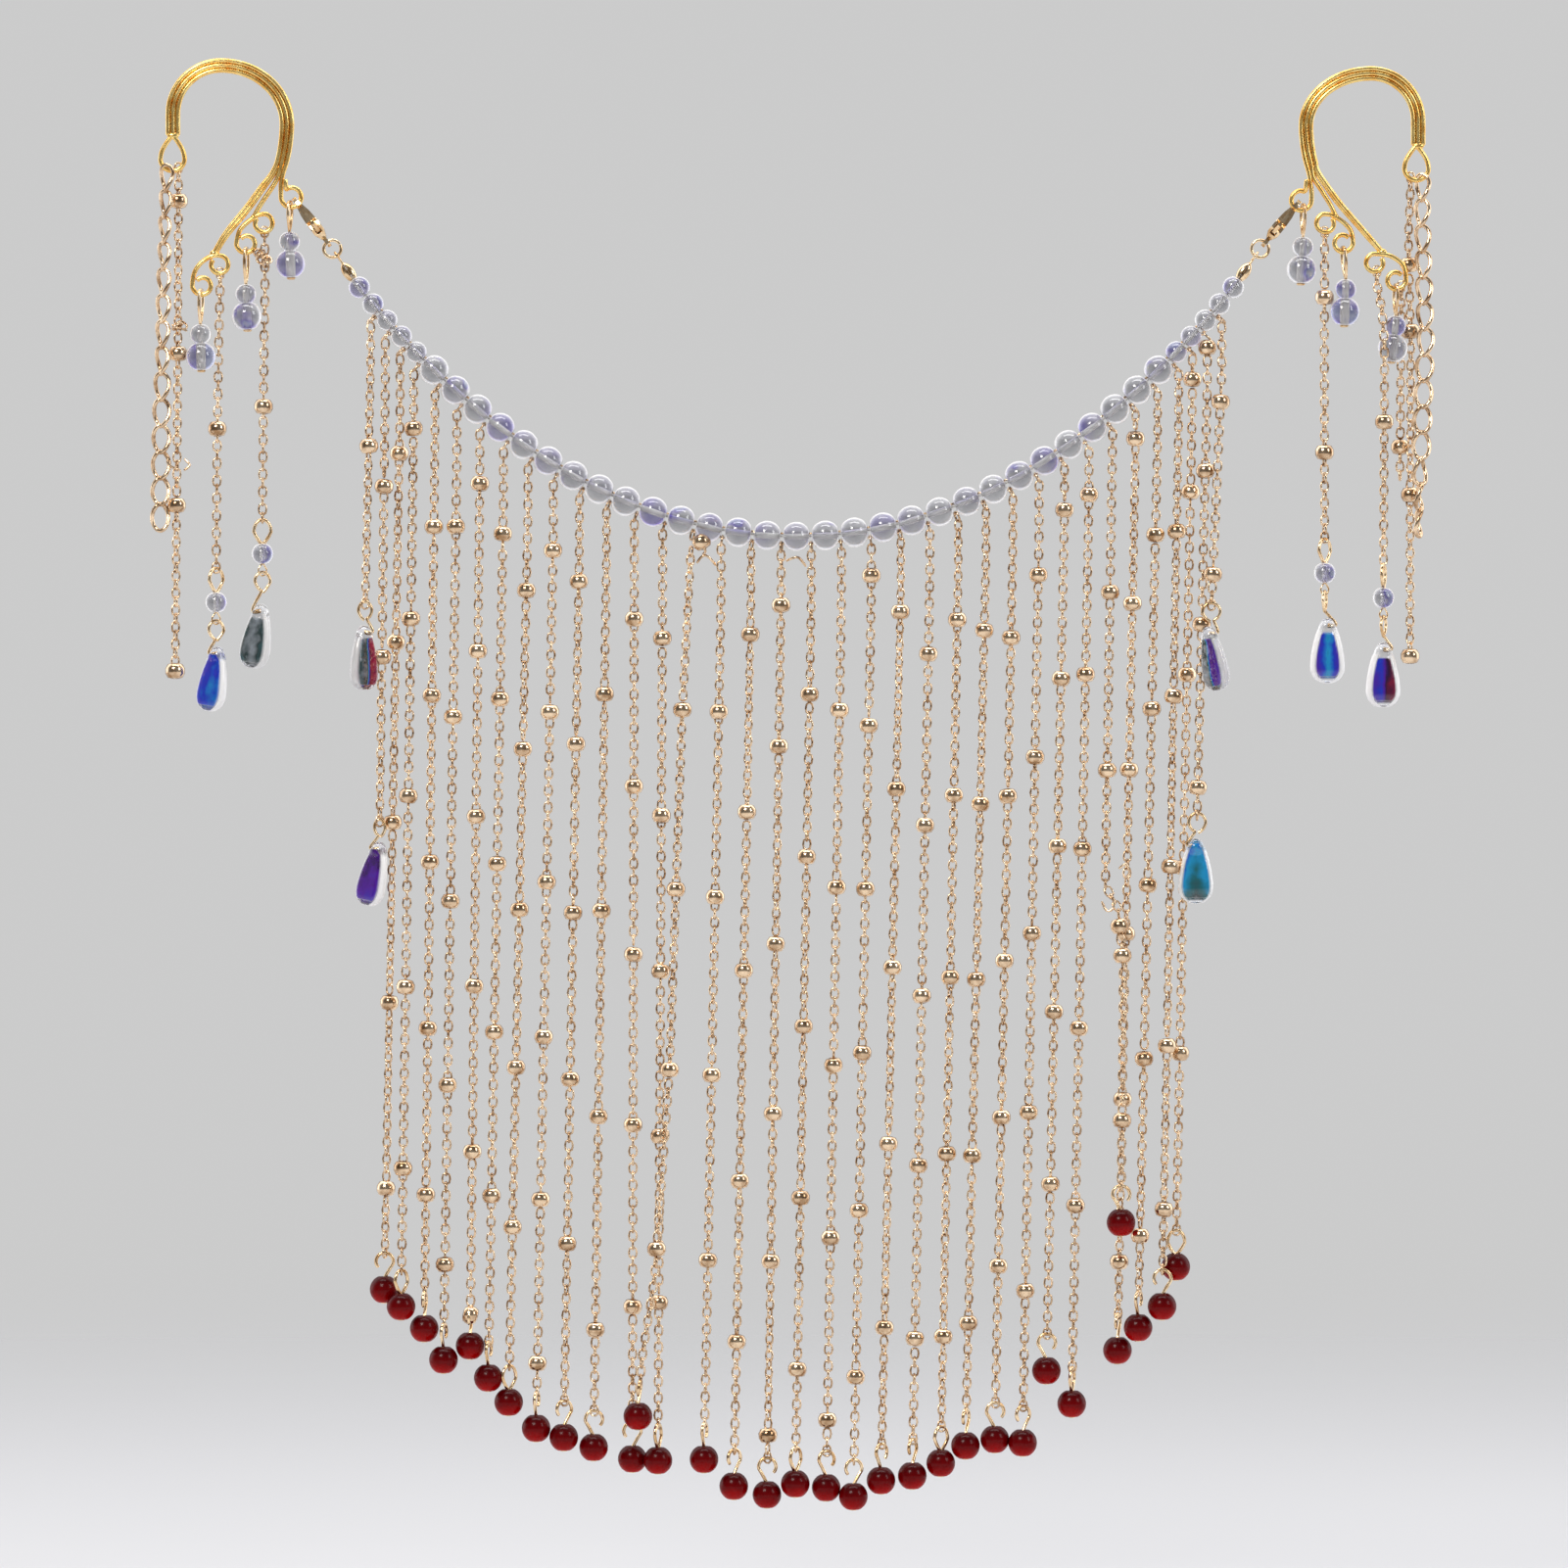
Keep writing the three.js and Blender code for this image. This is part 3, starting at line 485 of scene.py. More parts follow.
def makeCableLink():
    # a round ring, with its halves pulled apart
    size = linkSizes["cable"]
    bpy.ops.mesh.primitive_torus_add(
        major_radius=(size["width"] - size["wire"]) / 2 * mm, minor_radius=size["wire"] / 2 * mm,
        major_segments=size["steps"][0], minor_segments=size["steps"][1], rotation=(math.pi / 2, 0, 0))
    link = bpy.context.object
    link.name = "cableLink"
    settle(link)
    stretch = (size["length"] - size["width"]) / 2 * mm
    for side in (1, -1):
        selectWhere(link, lambda co: co.z * side > 1e-6)
        bpy.ops.transform.translate(value=(0, 0, side * stretch))
        bpy.ops.object.mode_set(mode="OBJECT")
    return settle(link)


def makeCurbLink():
    # an oval ring, twisted so that the links lie flat one after the other
    size = linkSizes["curb"]
    half, tall = (size["width"] - size["wire"]) / 2, (size["length"] - size["wire"]) / 2
    ring = []
    for angle in np.linspace(0, math.tau, size["steps"][0], endpoint=False):
        x, z = half * math.cos(angle), tall * math.sin(angle)
        turn = math.radians(size["twist"]) * z / size["length"]
        ring.append(Vector((x * math.cos(turn), x * math.sin(turn) + size["bow"] * math.cos(2 * angle), z)) * mm)
    return wirePiece("curbLink", ring, size["wire"] / 2, size["steps"][1], closed=True, finish="chainGold")


def makeSatellite():
    # a gold bead with a small flat at each mouth of its hole
    outline = [(0.72, 1.72), (1.6, 1.46), (2.1, 0.56), (2.1, -0.56), (1.6, -1.46), (0.72, -1.72), (0.55, 0)]
    return spunShape("satelliteModel", outline + outline[:1], 14)


def roundProfile(radius, halfLength, hole, rings, rim=0.12):
    # from the top mouth of the hole round the outside to the lower mouth, and back through the hole
    start = max(math.acos((halfLength - rim / 2) / radius), math.asin((hole + rim) / radius))
    points = []
    for i in range(rings + 1):
        angle = start + (math.pi - 2 * start) * i / rings
        points.append((radius * math.sin(angle), radius * math.cos(angle)))
    top, lip = points[0][1], hole + rim * 0.4
    return [(hole, top - rim), (lip, top), *points, (lip, -top), (hole, -top + rim), (hole, top - rim)]


def makeGlassBead(name, radius, halfLength, hole, steps=28, rings=12):
    bead = spunShape(name, roundProfile(radius, halfLength, hole, rings), steps)

    def level(co):
        # painted reflection and shade: blue and violet are put in the lower front of the bead, and grey round the rest
        low = (0.15 * radius * mm - co.y) / (radius * mm)
        sideways = math.sin(co.x / (radius * mm) * 2.3 + 0.8)
        return 0.24 + 0.14 * low + 0.12 * sideways
    setMark(bead, "toneAndPaintedLight", level)
    setMark(bead, "frostAndPaintedRim", lambda co: 1.0 if math.hypot(co.x, co.y) < (hole + 0.02) * mm else 0.0)
    setMark(bead, "coat", lambda co: 1.0)
    return bead


eyeShape = {"wire": 0.4, "length": 5.5, "width": 3.9}


def makeEye():
    # a teardrop loop: round at the top, closing to the shank at z = 0
    half, tall = eyeShape["width"] / 2, eyeShape["length"] / 2
    loop = []
    for i in range(17):
        angle = math.radians(-90 + 360 * i / 16)
        narrow = 1 if math.sin(angle) > 0 else 1 + 0.55 * math.sin(angle)
        loop.append(Vector((half * mm * math.cos(angle) * narrow, 0, (tall + tall * math.sin(angle)) * mm)))
    return wirePiece("eyeModel", [flat(0, -1.2), flat(0, -0.3)] + loop[1:], eyeShape["wire"], taper=0.7)


def makeOpenEye():
    # as bent by hand: a straight leg to one side, over the top, and an end that doesn't come back
    half, length = eyeShape["width"] / 2, eyeShape["length"]
    line = [(-0.1, -1.2), (0.05, -0.2), (half * 0.62, length * 0.36)]
    for deg in range(-15, 226, 24):
        angle = math.radians(deg)
        line.append((half * math.cos(angle), length - half + half * math.sin(angle)))
    return wirePiece("openEyeModel", smoothPath([flat(*place) for place in line], 2), eyeShape["wire"], taper=0.8)


# the slope down to the table begins a little below the cap
teardropShape = {"length": 14.7, "holeBelowTop": 1.8, "depth": 0.43, "table": 0.74, "cap": 2.4, "slope": 0.9}
# half widths down the drop, in millimetres
teardropOutline = [(0.0, 0), (0.68, -0.12), (1.22, -0.55), (1.66, -1.25), (2.1, -2.2), (2.5, -3.2), (2.86, -4.3),
                   (3.18, -5.5), (3.46, -6.8), (3.7, -8.2), (3.88, -9.6), (3.95, -10.8), (3.84, -12.0), (3.44, -13.0),
                   (2.78, -13.8), (1.85, -14.4), (0.9, -14.66), (0.0, -14.7)]


def makeTeardrop():
    drop = spunShape("teardropModel", teardropOutline, 48)

    def flatten(co):
        # below the round cap, each face is ground to a flat table with sloping edges
        radius = math.hypot(co.x, co.y)
        lean = abs(co.y) / max(radius, 1e-9)
        fade = clamp((-co.z / mm - teardropShape["cap"]) / teardropShape["slope"])
        ground = min(lean, teardropShape["table"]) / teardropShape["table"] * radius * teardropShape["depth"]
        return Vector((co.x, math.copysign(ground * fade + abs(co.y) * 0.95 * (1 - fade), co.y), co.z))
    reshape(drop, flatten)
    return settle(drop, 24)


def tearMarks(left, right, low, edge, top, rim, paintedRimAndFrostLevel):
    # the coated field ends short of the outline; its hue changes from left to right and on the way down
    depths, widths = [-z for _, z in teardropOutline], [r for r, _ in teardropOutline]

    def inset(co):
        return np.interp(-co.z / mm, depths, widths) - abs(co.x) / mm

    def field(co):
        down = -co.z / mm
        sides = (inset(co) - rim) / 0.4 + 0.5
        ends = min((down - top) / 0.8, (teardropShape["length"] - rim - down) / 0.6)
        return clamp(sides) * clamp(ends)

    def hue(co):
        across = co.x / (3 * mm)
        down = -co.z / mm / teardropShape["length"]
        return left + (right - left) * clamp(0.5 + across * 3) + low * down + edge * abs(across)

    # painted rim light: a white band along the outline below the cap, kept in the mark that holds the frost of the
    # beads' drilled holes
    def white(co):
        below = 1.0 if co.z < -2.2 * mm else 0.3
        return paintedRimAndFrostLevel * below * clamp((rim + 0.1 - inset(co)) / 0.4)
    return {"toneAndPaintedLight": hue, "coat": field, "frostAndPaintedRim": white}


# radius, half length and hole, then steps round and down where they differ
glassBeads = {"largeBead": (3.4, 3.0, 0.46), "smallBead": (2.5, 2.25, 0.4, 24, 10), "dropBead": (3.4, 3.05, 0.72)}
pinHeadOutline = [(0, 0.35), (0.5, 0.35), (0.95, 0.12), (0.98, -0.1), (0.7, -0.32), (0, -0.36)]
models = {"cable": makeCableLink(), "curb": makeCurbLink(), "satellite": makeSatellite()}
models.update((kind, makeGlassBead(kind + "Model", *size)) for kind, size in glassBeads.items())
models["redBead"] = spunShape("redBeadModel", roundProfile(3.25, 3.0, 0.5, 14), 30)
# painted light: each red bead runs from dark at the top to bright red at the bottom
setMark(models["redBead"], "toneAndPaintedLight", lambda co: 0.4 - 0.5 * co.z / (3.1 * mm))
models["pinHead"] = spunShape("pinHeadModel", pinHeadOutline, 12)
models["eye"] = makeEye()
models["openEye"] = makeOpenEye()
models["teardrop"] = makeTeardrop()
print("models ready:", ", ".join(models))


# ---------- the bead string
beadString = {
    "low": -103.6, "sag": 94.2, "smallPerEnd": 5, "largeBeads": 29,
    "smallPitch": 4.84, "largePitch": 6.56, "smallLength": 4.2, "largeLength": 5.6, "threadR": 0.22,
    "jumpRing": {"left": (-104.2, -39.0), "right": (104.2, -39.0), "radius": 1.94, "wire": 0.37},
}


lastLarge = (beadString["largeBeads"] - 1) // 2


def beadArc(index):
    steps, last = abs(index), lastLarge
    if steps <= last:
        return index * beadString["largePitch"]
    beyond = last * beadString["largePitch"] + (beadString["largePitch"] + beadString["smallPitch"]) / 2
    return math.copysign(beyond + (steps - last - 1) * beadString["smallPitch"], index)


def isSmall(index):
    return abs(index) > lastLarge


def beadLength(index):
    return beadString["smallLength" if isSmall(index) else "largeLength"]


def gapArc(index):
    return (beadArc(index) + beadLength(index) / 2 + beadArc(index + 1) - beadLength(index + 1) / 2) / 2


def hangingLine(arc):
    x = beadString["sag"] * math.asinh(arc / beadString["sag"])
    z = beadString["low"] + beadString["sag"] * (math.cosh(x / beadString["sag"]) - 1)
    return flat(x, z), Vector((1, 0, math.sinh(x / beadString["sag"]))).normalized()


def buildString():
    half = lastLarge + beadString["smallPerEnd"]
    places = {"largeBead": [], "smallBead": []}
    for index in range(-half, half + 1):
        point, tangent = hangingLine(beadArc(index))
        kind = "smallBead" if isSmall(index) else "largeBead"
        wobble = Vector((random.uniform(-0.04, 0.04), random.uniform(-0.05, 0.05), random.uniform(-0.05, 0.05)))
        # the side with the painted colour stays in the lower front, a little different on each bead
        spin = math.pi / 2 + random.uniform(-0.7, 0.7)
        places[kind].append(placeAt(point, tangent + wobble, spin, random.uniform(0.975, 1.015)))
    for kind, where in places.items():
        finishPiece(copies(kind + "s", models[kind], where, "crystalGlass"), "bead_string")

    ends = {}
    for sign, side in ((-1, "left"), (1, "right")):
        last, _ = hangingLine(sign * beadArc(half))
        ring = flat(*beadString["jumpRing"][side])
        toBead = (last - ring).normalized()
        ends[side] = (ring + toBead * beadString["jumpRing"]["radius"] * mm, toBead)
    line = [ends["left"][0]] + [hangingLine(beadArc(i))[0] for i in range(-half, half + 1)] + [ends["right"][0]]
    thread = wirePiece("stringThread", smoothPath(line, 3), beadString["threadR"], finish="threadSilk")
    finishPiece(thread, "bead_string")
    for side, (eye, toBead) in ends.items():
        buildBeadTip(side, eye, toBead)


beadTip = {"cupMm": (0.98, 1.1, 2.4), "fromEye": 4.5, "gap": 0.3, "wall": 0.26, "ring": (0.95, 0.3)}


def buildBeadTip(side, eye, toBead):
    # two half cups meet over the knot, and bulge apart a little towards the front
    middle = eye + toBead * beadTip["fromEye"] * mm
    halves = []
    for lean in (-1, 1):
        bpy.ops.mesh.primitive_uv_sphere_add(segments=24, ring_count=14, radius=mm, scale=beadTip["cupMm"])
        cup = settle(bpy.context.object)
        selectWhere(cup, lambda co: co.x * lean > 0.02 * mm or co.z < -2.3 * mm)
        bpy.ops.mesh.delete(type="VERT")
        bpy.ops.object.mode_set(mode="OBJECT")
        applyModifier("SOLIDIFY", thickness=beadTip["wall"] * mm, offset=0)
        reach = beadTip["cupMm"][2] * mm
        reshape(cup, lambda co: co - Vector((lean * beadTip["gap"] * mm * max(0, 1 - (co.z / reach) ** 2), 0, 0)))
        cup.matrix_world = placeAt(middle, toBead)
        halves.append(settle(cup, 50))
    across = Vector((0, 1, 0))
    ringR, ringWire = beadTip["ring"]
    loop = [eye + (toBead * math.cos(angle) + across * math.sin(angle)) * ringR * mm
            for angle in np.linspace(0, math.tau, 16, endpoint=False)]
    halves.append(wirePiece("tipRing", loop, ringWire, closed=True))
    stem = eye + toBead * ringR * mm
    halves.append(wirePiece("tipStem", [stem, stem + toBead * 1.5 * mm], ringWire))
    knot = spunShape("tipKnot", [(0, 0.8), (0.7, 0.4), (0.75, -0.3), (0, -0.8)], 12)
    knot.matrix_world = placeAt(middle, toBead)
    halves.append(settle(knot, 50))
    tip = joinAll("beadTip_" + side, halves)
    dress(tip, "findingGold")
    finishPiece(tip, "bead_string")


buildString()
print("bead string ready")


# ---------- chains
def routeTools(points):
    lengths = [0.0]
    for a, b in zip(points, points[1:]):
        lengths.append(lengths[-1] + (b - a).length)

    def at(distance):
        distance = min(max(distance, 0), lengths[-1])
        i = min(max(np.searchsorted(lengths, distance) - 1, 0), len(points) - 2)
        a, b = points[i], points[i + 1]
        span = max(lengths[i + 1] - lengths[i], 1e-9)
        return a.lerp(b, (distance - lengths[i]) / span), (b - a).normalized()

    return lengths[-1], at


chainLie = {"firstTurn": 0.42, "drift": 0.06, "keep": 0.96, "beadHalf": 1.5}


def chainPlaces(points, pitch, beads=(), first=0.0, turns=None):
    # a place for each link, leaving room where a bead sits
    length, at = routeTools(points)
    places, turn, sway = [], random.uniform(-chainLie["firstTurn"], chainLie["firstTurn"]), 0.0
    count = max(1, int((length - first) / pitch) + 1)
    for i in range(count):
        distance = first + (length - first) * i / max(1, count - 1) if count > 1 else first
        sway = chainLie["keep"] * sway + random.uniform(-chainLie["drift"], chainLie["drift"])
        point, down = at(distance)
        nearest = min((abs(distance - bead) for bead in beads), default=1)
        if nearest < chainLie["beadHalf"] * mm:
            continue
        if turns:
            # links that all lie one way, and turn slowly down the chain
            around = math.radians(np.interp(i / count, np.linspace(0, 1, len(turns)), turns)) + sway
        else:
            around = turn + sway + i * math.pi / 2
        places.append(placeAt(point, down, around))
    return places


strandRows = [
    # gap, drop, lean, depth, distances of the satellites below the string, turn of the eye
    (2, 77.6, -3.5, -2.6, (30.1,), 0.3),
    (3, 122.6, -3.4, 0.0, (35.5, 73.8), 1.3),
    (4, 212.4, -5.6, 2.4, (24.5, 66.9, 107.4, 147.9, 189.7), 0.05),
    (5, 212.5, -5.1, -1.4, (15.4, 58.1, 97.9, 140.8, 181.5), 0.8),
    (6, 213.0, -4.6, 0.6, (32.9, 70.8, 108.2, 145.6, 183.0), 1.4),
    (7, 215.6, -5.1, -0.6, (28.5, 71.2, 112.6, 153.9, 194.2), 1.3),
    (8, 208.3, -4.2, 0.6, (14.6, 52.2, 89.4, 127.5, 164.7, 201.4), 1.4),
    (9, 211.5, -5.3, 0.0, (21.9, 59.0, 96.0, 133.8, 170.6), 1.3),
    (10, 213.2, -6.1, 0.0, (30.9, 66.5, 102.6, 138.0, 173.9), 0.7),
    (11, 215.6, -5.5, 0.5, (18.4, 54.7, 92.9, 127.7, 164.2, 201.0), 1.35),
    (12, 214.4, -5.0, -0.5, (22.2, 58.7, 96.6, 134.0, 170.9), 0.6),
    (13, 213.8, -4.2, 0.0, (44.6, 93.3, 139.5, 187.4), 0.1),
    (14, 214.0, -1.6, 2.3, (25.2, 62.8, 100.6, 138.9, 179.8), 0.1),
    (15, 212.0, -2.0, -0.6, (27.4, 67.2, 102.2, 139.2, 176.6), 1.2),
    (16, 200.2, -12.8, -2.4, (4.6, 41.7, 82.0, 122.5, 162.7), 1.45),
    (17, 208.7, -4.4, 0.0, (40.8, 82.4, 122.4, 164.0), 1.3),
    (18, 213.8, -4.2, 0.0, (22.5, 62.4, 98.0, 145.3, 181.4), 0.8),
    (19, 215.3, -3.3, 0.5, (15.5, 47.2, 91.6, 129.7, 162.9, 202.0), 0.1),
    (20, 212.8, -3.5, -0.5, (35.5, 72.0, 110.1, 148.6, 187.1), 0.9),
    (21, 214.2, -3.1, 0.6, (39.5, 79.3, 119.3, 158.1, 199.0), 0.5),
    (22, 217.0, -3.5, -0.6, (10.2, 43.9, 80.6, 117.4, 152.8, 190.2), 0.4),
    (23, 214.8, -3.7, 0.0, (19.7, 59.5, 99.6, 139.2, 180.5), 0.9),
    (24, 215.5, -3.0, 0.0, (30.9, 69.4, 107.7, 145.8, 184.7), 1.1),
    (25, 214.8, -2.8, 0.0, (25.4, 64.8, 105.7, 145.3, 186.4), 0.7),
    (26, 213.4, -3.3, 0.0, (30.3, 69.3, 108.7, 148.3, 185.9), 1.2),
    (27, 214.9, -2.6, 0.5, (34.8, 70.4, 107.4, 142.6, 176.0), 0.1),
    (28, 218.8, -2.1, -0.5, (23.9, 64.8, 104.4, 144.6, 184.7), 0.7),
    (29, 206.1, -2.3, 0.0, (12.8, 50.7, 88.3, 125.5, 164.2, 200.9), 0.0),
    (30, 217.3, -2.0, 0.0, (13.1, 53.5, 92.7, 133.0, 172.8), 1.3),
    (31, 180.5, 3.8, -2.2, (39.0, 79.0, 114.0, 120.6, 157.6), 0.1),
    (32, 213.6, -1.9, 2.2, (8.7, 45.7, 83.1, 120.0, 157.2, 193.7), 1.3),
    (33, 212.8, -2.2, 0.0, (34.7, 73.8, 113.4, 152.4, 192.2), 1.2),
    (34, 212.5, -1.5, -1.2, (38.5, 75.5, 113.7, 154.0, 190.7), 0.1),
    (35, 207.3, -1.7, 2.5, (7.8, 33.1, 74.2, 117.5, 159.3), 0.0),
    (36, 121.8, -0.6, -1.2, (4.3, 32.0, 66.5, 103.1), 0.1),
    (37, 77.9, -0.9, -3.2, (20.2, 58.9), 0.2),
]
# strands that don't hang plumb, as [x, y, z]
strandBends = {
    16: [(-25.6, -1.0, -143), (-28.4, -2.9, -223), (-31.8, -3.5, -270), (-34.6, -3.6, -288)],
    31: [(69.4, -0.6, -182), (72.2, -1.8, -187), (73.4, -2.2, -200)],
}
# tilt in the picture, turn away from the front, side, width and length of the bail
tearRows = {2: (0, 48, 1, 3.0, 5.0), 3: (-12, -38, -1, 2.4, 4.8),
            36: (0, 0, -1, 3.8, 5.4), 37: (10, -52, 1, 4.0, 5.0)}
# hue at left, at right, further down and at the edge; top and rim left bare by the coating; strength of the painted
# white rim light
tearHues = {2: (0.08, 0.98, 0, 0, 2.6, 0.8, 0.6), 3: (0.88, 0.84, -0.22, 0, 1.6, 0.8, 1),
            36: (0.44, 0.42, -0.36, 0.2, 0.7, 0.85, 0.95), 37: (0.1, 0.76, -0.08, 0, 2.2, 0.8, 0.6),
            "teardrop_chain_b_left": (0.0, 0.0, 0.05, 0.1, 2.8, 0.9, 0.8),
            "teardrop_chain_d_left": (0.54, 0.48, -0.04, 0.04, 1.6, 0.8, 1),
            "teardrop_chain_b_right": (0.4, 0.34, 0, 0.34, 2.8, 1.3, 1),
            "teardrop_chain_d_right": (0.5, 0.78, 0.04, 0.14, 3.0, 1.3, 1)}
# satellites that slid aside or lie across the chain: strand, number of the bead, shift, direction
slidBeads = {(16, 0): ((2.3, -1.0, 0.6), (0.5, -0.2, -1)), (8, 5): ((0, 0, 0), (1, 0, -0.25))}
# bits of wire caught in the chains, as [x, y, z] in millimetres
looseWires = {
    17: [[(-18.1, 0.5, -110.1), (-19.1, -0.9, -108.8), (-20.3, -1.1, -107.9), (-21.4, -0.9, -108.3),
          (-22.3, -0.6, -109.6)]],
    16: [[(-22.0, -1.6, -105.0), (-20.9, -1.9, -105.9), (-20.4, -1.7, -107.0), (-21.0, -1.5, -107.7)]],
    20: [[(-2.2, 0.4, -109.1), (-0.9, -0.8, -108.5), (0.6, -1.0, -108.4), (2.2, -0.5, -110.4)]],
    31: [[(68.6, -1.4, -185.6), (69.6, -2.6, -187.6), (71.0, -2.8, -187.2), (71.3, -2.5, -185.4), (70.2, -2.2, -184.6)],
         [(72.4, -2.8, -178.2), (73.9, -3.2, -177.2), (74.8, -3.0, -178.8), (74.0, -2.6, -180.2)]],
    "satellite_chain_left": [
        [(-137.4, -0.2, -86.2), (-136.2, -0.7, -87.6), (-137.5, -0.9, -88.8)],
        [(-138.6, -0.4, -88.6), (-140.2, -1.0, -88.0), (-141.2, -1.0, -86.9), (-140.7, -0.8, -85.8)]],
}
# knots of a few spare links: middle, spread and number
linkKnots = {"satellite_chain_left": ((-138.7, 0.2, -56.0), 0.9, 6),
             "teardrop_chain_b_left": ((-119.9, -0.2, -40.9), 1.3, 9)}
strandShape = {"middleGap": 20, "shoulder": 11, "reach": 2.7, "redRadius": 3.1, "bailWire": 0.36, "caughtWire": 0.3}


def strandRoute(row):
    gap, drop, lean, depth = row[:4]
    above = gap - strandShape["middleGap"]
    start, tangent = hangingLine(gapArc(above))
    out = Vector((tangent.z, 0, -tangent.x))
    radii = [glassBeads["smallBead" if isSmall(i) else "largeBead"][0] for i in (above, above + 1)]
    top = start + out * max(max(radii) - 0.2, strandShape["reach"]) * mm
    foot = Vector((start.x + lean * mm, depth * mm, start.z - drop * mm))
    if gap in strandBends:
        bends = [Vector(point) * mm for point in strandBends[gap]]
    else:
        bends = [Vector((top.x, depth * 0.6 * mm, top.z - strandShape["shoulder"] * mm))]
    return start, [start + out * 0.55 * mm, top] + bends + [foot]


def distanceAtHeight(points, z):
    run = 0.0
    for a, b in zip(points, points[1:]):
        if b.z <= z <= a.z:
            return run + (b - a).length * (a.z - z) / max(a.z - b.z, 1e-9)
        run += (b - a).length
    return run


def shorten(points, keep):
    # the route cut back to its first part
    kept, run = [points[0]], 0.0
    for a, b in zip(points, points[1:]):
        step = (b - a).length
        if run + step >= keep:
            kept.append(a.lerp(b, (keep - run) / step))
            return kept
        kept.append(b)
        run += step
    return kept


def caughtBits(key):
    parts = []
    for line in looseWires.get(key, []):
        path = smoothPath([Vector(place) * mm for place in line], 3)
        parts.append(wirePiece("looseWire", path, strandShape["caughtWire"], taper=0.7, finish="chainGold"))
    if key in linkKnots:
        middle, spread, count = linkKnots[key]
        places = []
        for _ in range(count):
            shift = Vector([random.uniform(-spread, spread) for _ in range(3)])
            way = Vector([random.uniform(-1, 1) for _ in range(3)])
            places.append(placeAt((Vector(middle) + shift) * mm, way, random.uniform(0, 3)))
        parts.append(copies("linkKnot", models["cable"], places, "chainGold"))
    return parts


def buildStrand(row):
    gap, *_, satellites, eyeTurn = row
    name = f"{gap:02d}"
    node = "strand_" + name
    start, points = strandRoute(row)
    foot = points[-1]
    length, at = routeTools(points)
    hasTear = gap in tearRows
    if hasTear:
        below = teardropShape["length"] / 2 + tearRows[gap][4] - 0.2
    else:
        below = strandShape["redRadius"] + eyeShape["length"] - 0.3
    chainEnd = length - below * mm
    beads = [distanceAtHeight(points, start.z - distance * mm) for distance in satellites]
    beads = [bead for bead in beads if bead < chainEnd + 1.5 * mm]
    links = chainPlaces(shorten(points, chainEnd), linkSizes["cable"]["pitch"] * mm, beads)
    parts = [copies("links", models["cable"], links, "chainGold")]
    turns = []
    for number, bead in enumerate(beads):
        point, down = at(bead)
        wobble = Vector((random.uniform(-0.12, 0.12), random.uniform(-0.12, 0.12), 0))
        if (gap, number) in slidBeads:
            shift, down = (Vector(value) for value in slidBeads[gap, number])
            point = point + shift * mm
        turns.append(placeAt(point, down + wobble, random.uniform(0, 1)))
    if turns:
        parts.append(copies("beads", models["satellite"], turns, "chainGold"))
    endPoint = at(chainEnd)[0]
    if hasTear:
        tilt, turn, side, width, loop = tearRows[gap]
        parts.append(tearBail(foot, endPoint + flat(0, 0.4), side, width, loop))
        piece = copies("teardrop_" + name, models["teardrop"], [tearPlace(foot, tilt, turn)], "teardropGlass",
                       tearMarks(*tearHues[gap]))
        finishPiece(piece, node)
    else:
        eyeBottom = foot + flat(0, 2.75)
        facing = eyeTurn + math.pi * (gap % 2)
        parts.append(copies("eye", models["openEye" if gap % 5 else "eye"],
                            [placeAt(eyeBottom, (eyeBottom - endPoint), facing)], "findingGold"))
        parts.append(copies("head", models["pinHead"], [placeAt(foot - flat(0, 2.8))], "findingGold"))
        spin = random.uniform(0, math.tau)
        red = copies("redBead_" + name, models["redBead"], [placeAt(foot, turn=spin)], "redGlass")
        finishPiece(red, node)
    finishPiece(joinAll("chain_" + name, parts + caughtBits(gap)), node)


def tearHole(foot):
    return foot + flat(0, teardropShape["length"] / 2 - teardropShape["holeBelowTop"])


def tearPlace(foot, tilt, turn):
    turned = Matrix.Rotation(math.radians(-tilt), 4, "Y") @ Matrix.Rotation(math.radians(turn), 4, "Z")
    return Matrix.Translation(tearHole(foot)) @ turned @ Matrix.Translation(flat(0, teardropShape["holeBelowTop"]))


def tearBail(foot, top, side, width, loop, turn=0.0, pinch=0.25):
    # a ring of wire below the chain, a short leg from its foot beside the cap, and in through the cap's hole
    hole = tearHole(foot)
    half, tall, line = width / 2, loop * 0.82, []
    for deg in np.linspace(262, -68, 13):
        angle = math.radians(deg)
        narrow = 1 if math.sin(angle) > 0 else 1 + pinch * math.sin(angle)
        across = half * math.cos(angle) * narrow * side
        fall = -tall / 2 + tall / 2 * math.sin(angle)
        line.append(top + Vector((across * math.cos(turn), across * math.sin(turn), fall)) * mm)
    edge = hole + Vector((side * 1.9, 0, 0)) * mm
    line += [line[-1].lerp(edge, 0.5) + Vector((side * 0.25, 0, 0)) * mm, edge + Vector((side * 0.05, 0, 0.5)) * mm,
             edge + Vector((-side * 0.5, 0, -0.1)) * mm, hole]
    return wirePiece("bail", smoothPath(line, 3), strandShape["bailWire"])


for row in strandRows:
    buildStrand(row)
print("fringe ready:", len(strandRows), "strands")


# ---------- ear hooks
hookWire = {"radius": 0.55, "pitch": 1.1, "sides": 14,
            "solder": ((1.35, 0.62, 0.8), (0.95, 0.62, 0.75), (0.7, 0.58, 0.75))}
curls = {"claspCurl": 2.15, "curlB": 2.15, "curlC": 2.15, "curlD": 2.1, "curlE": 2.15, "backLoop": 2.7}
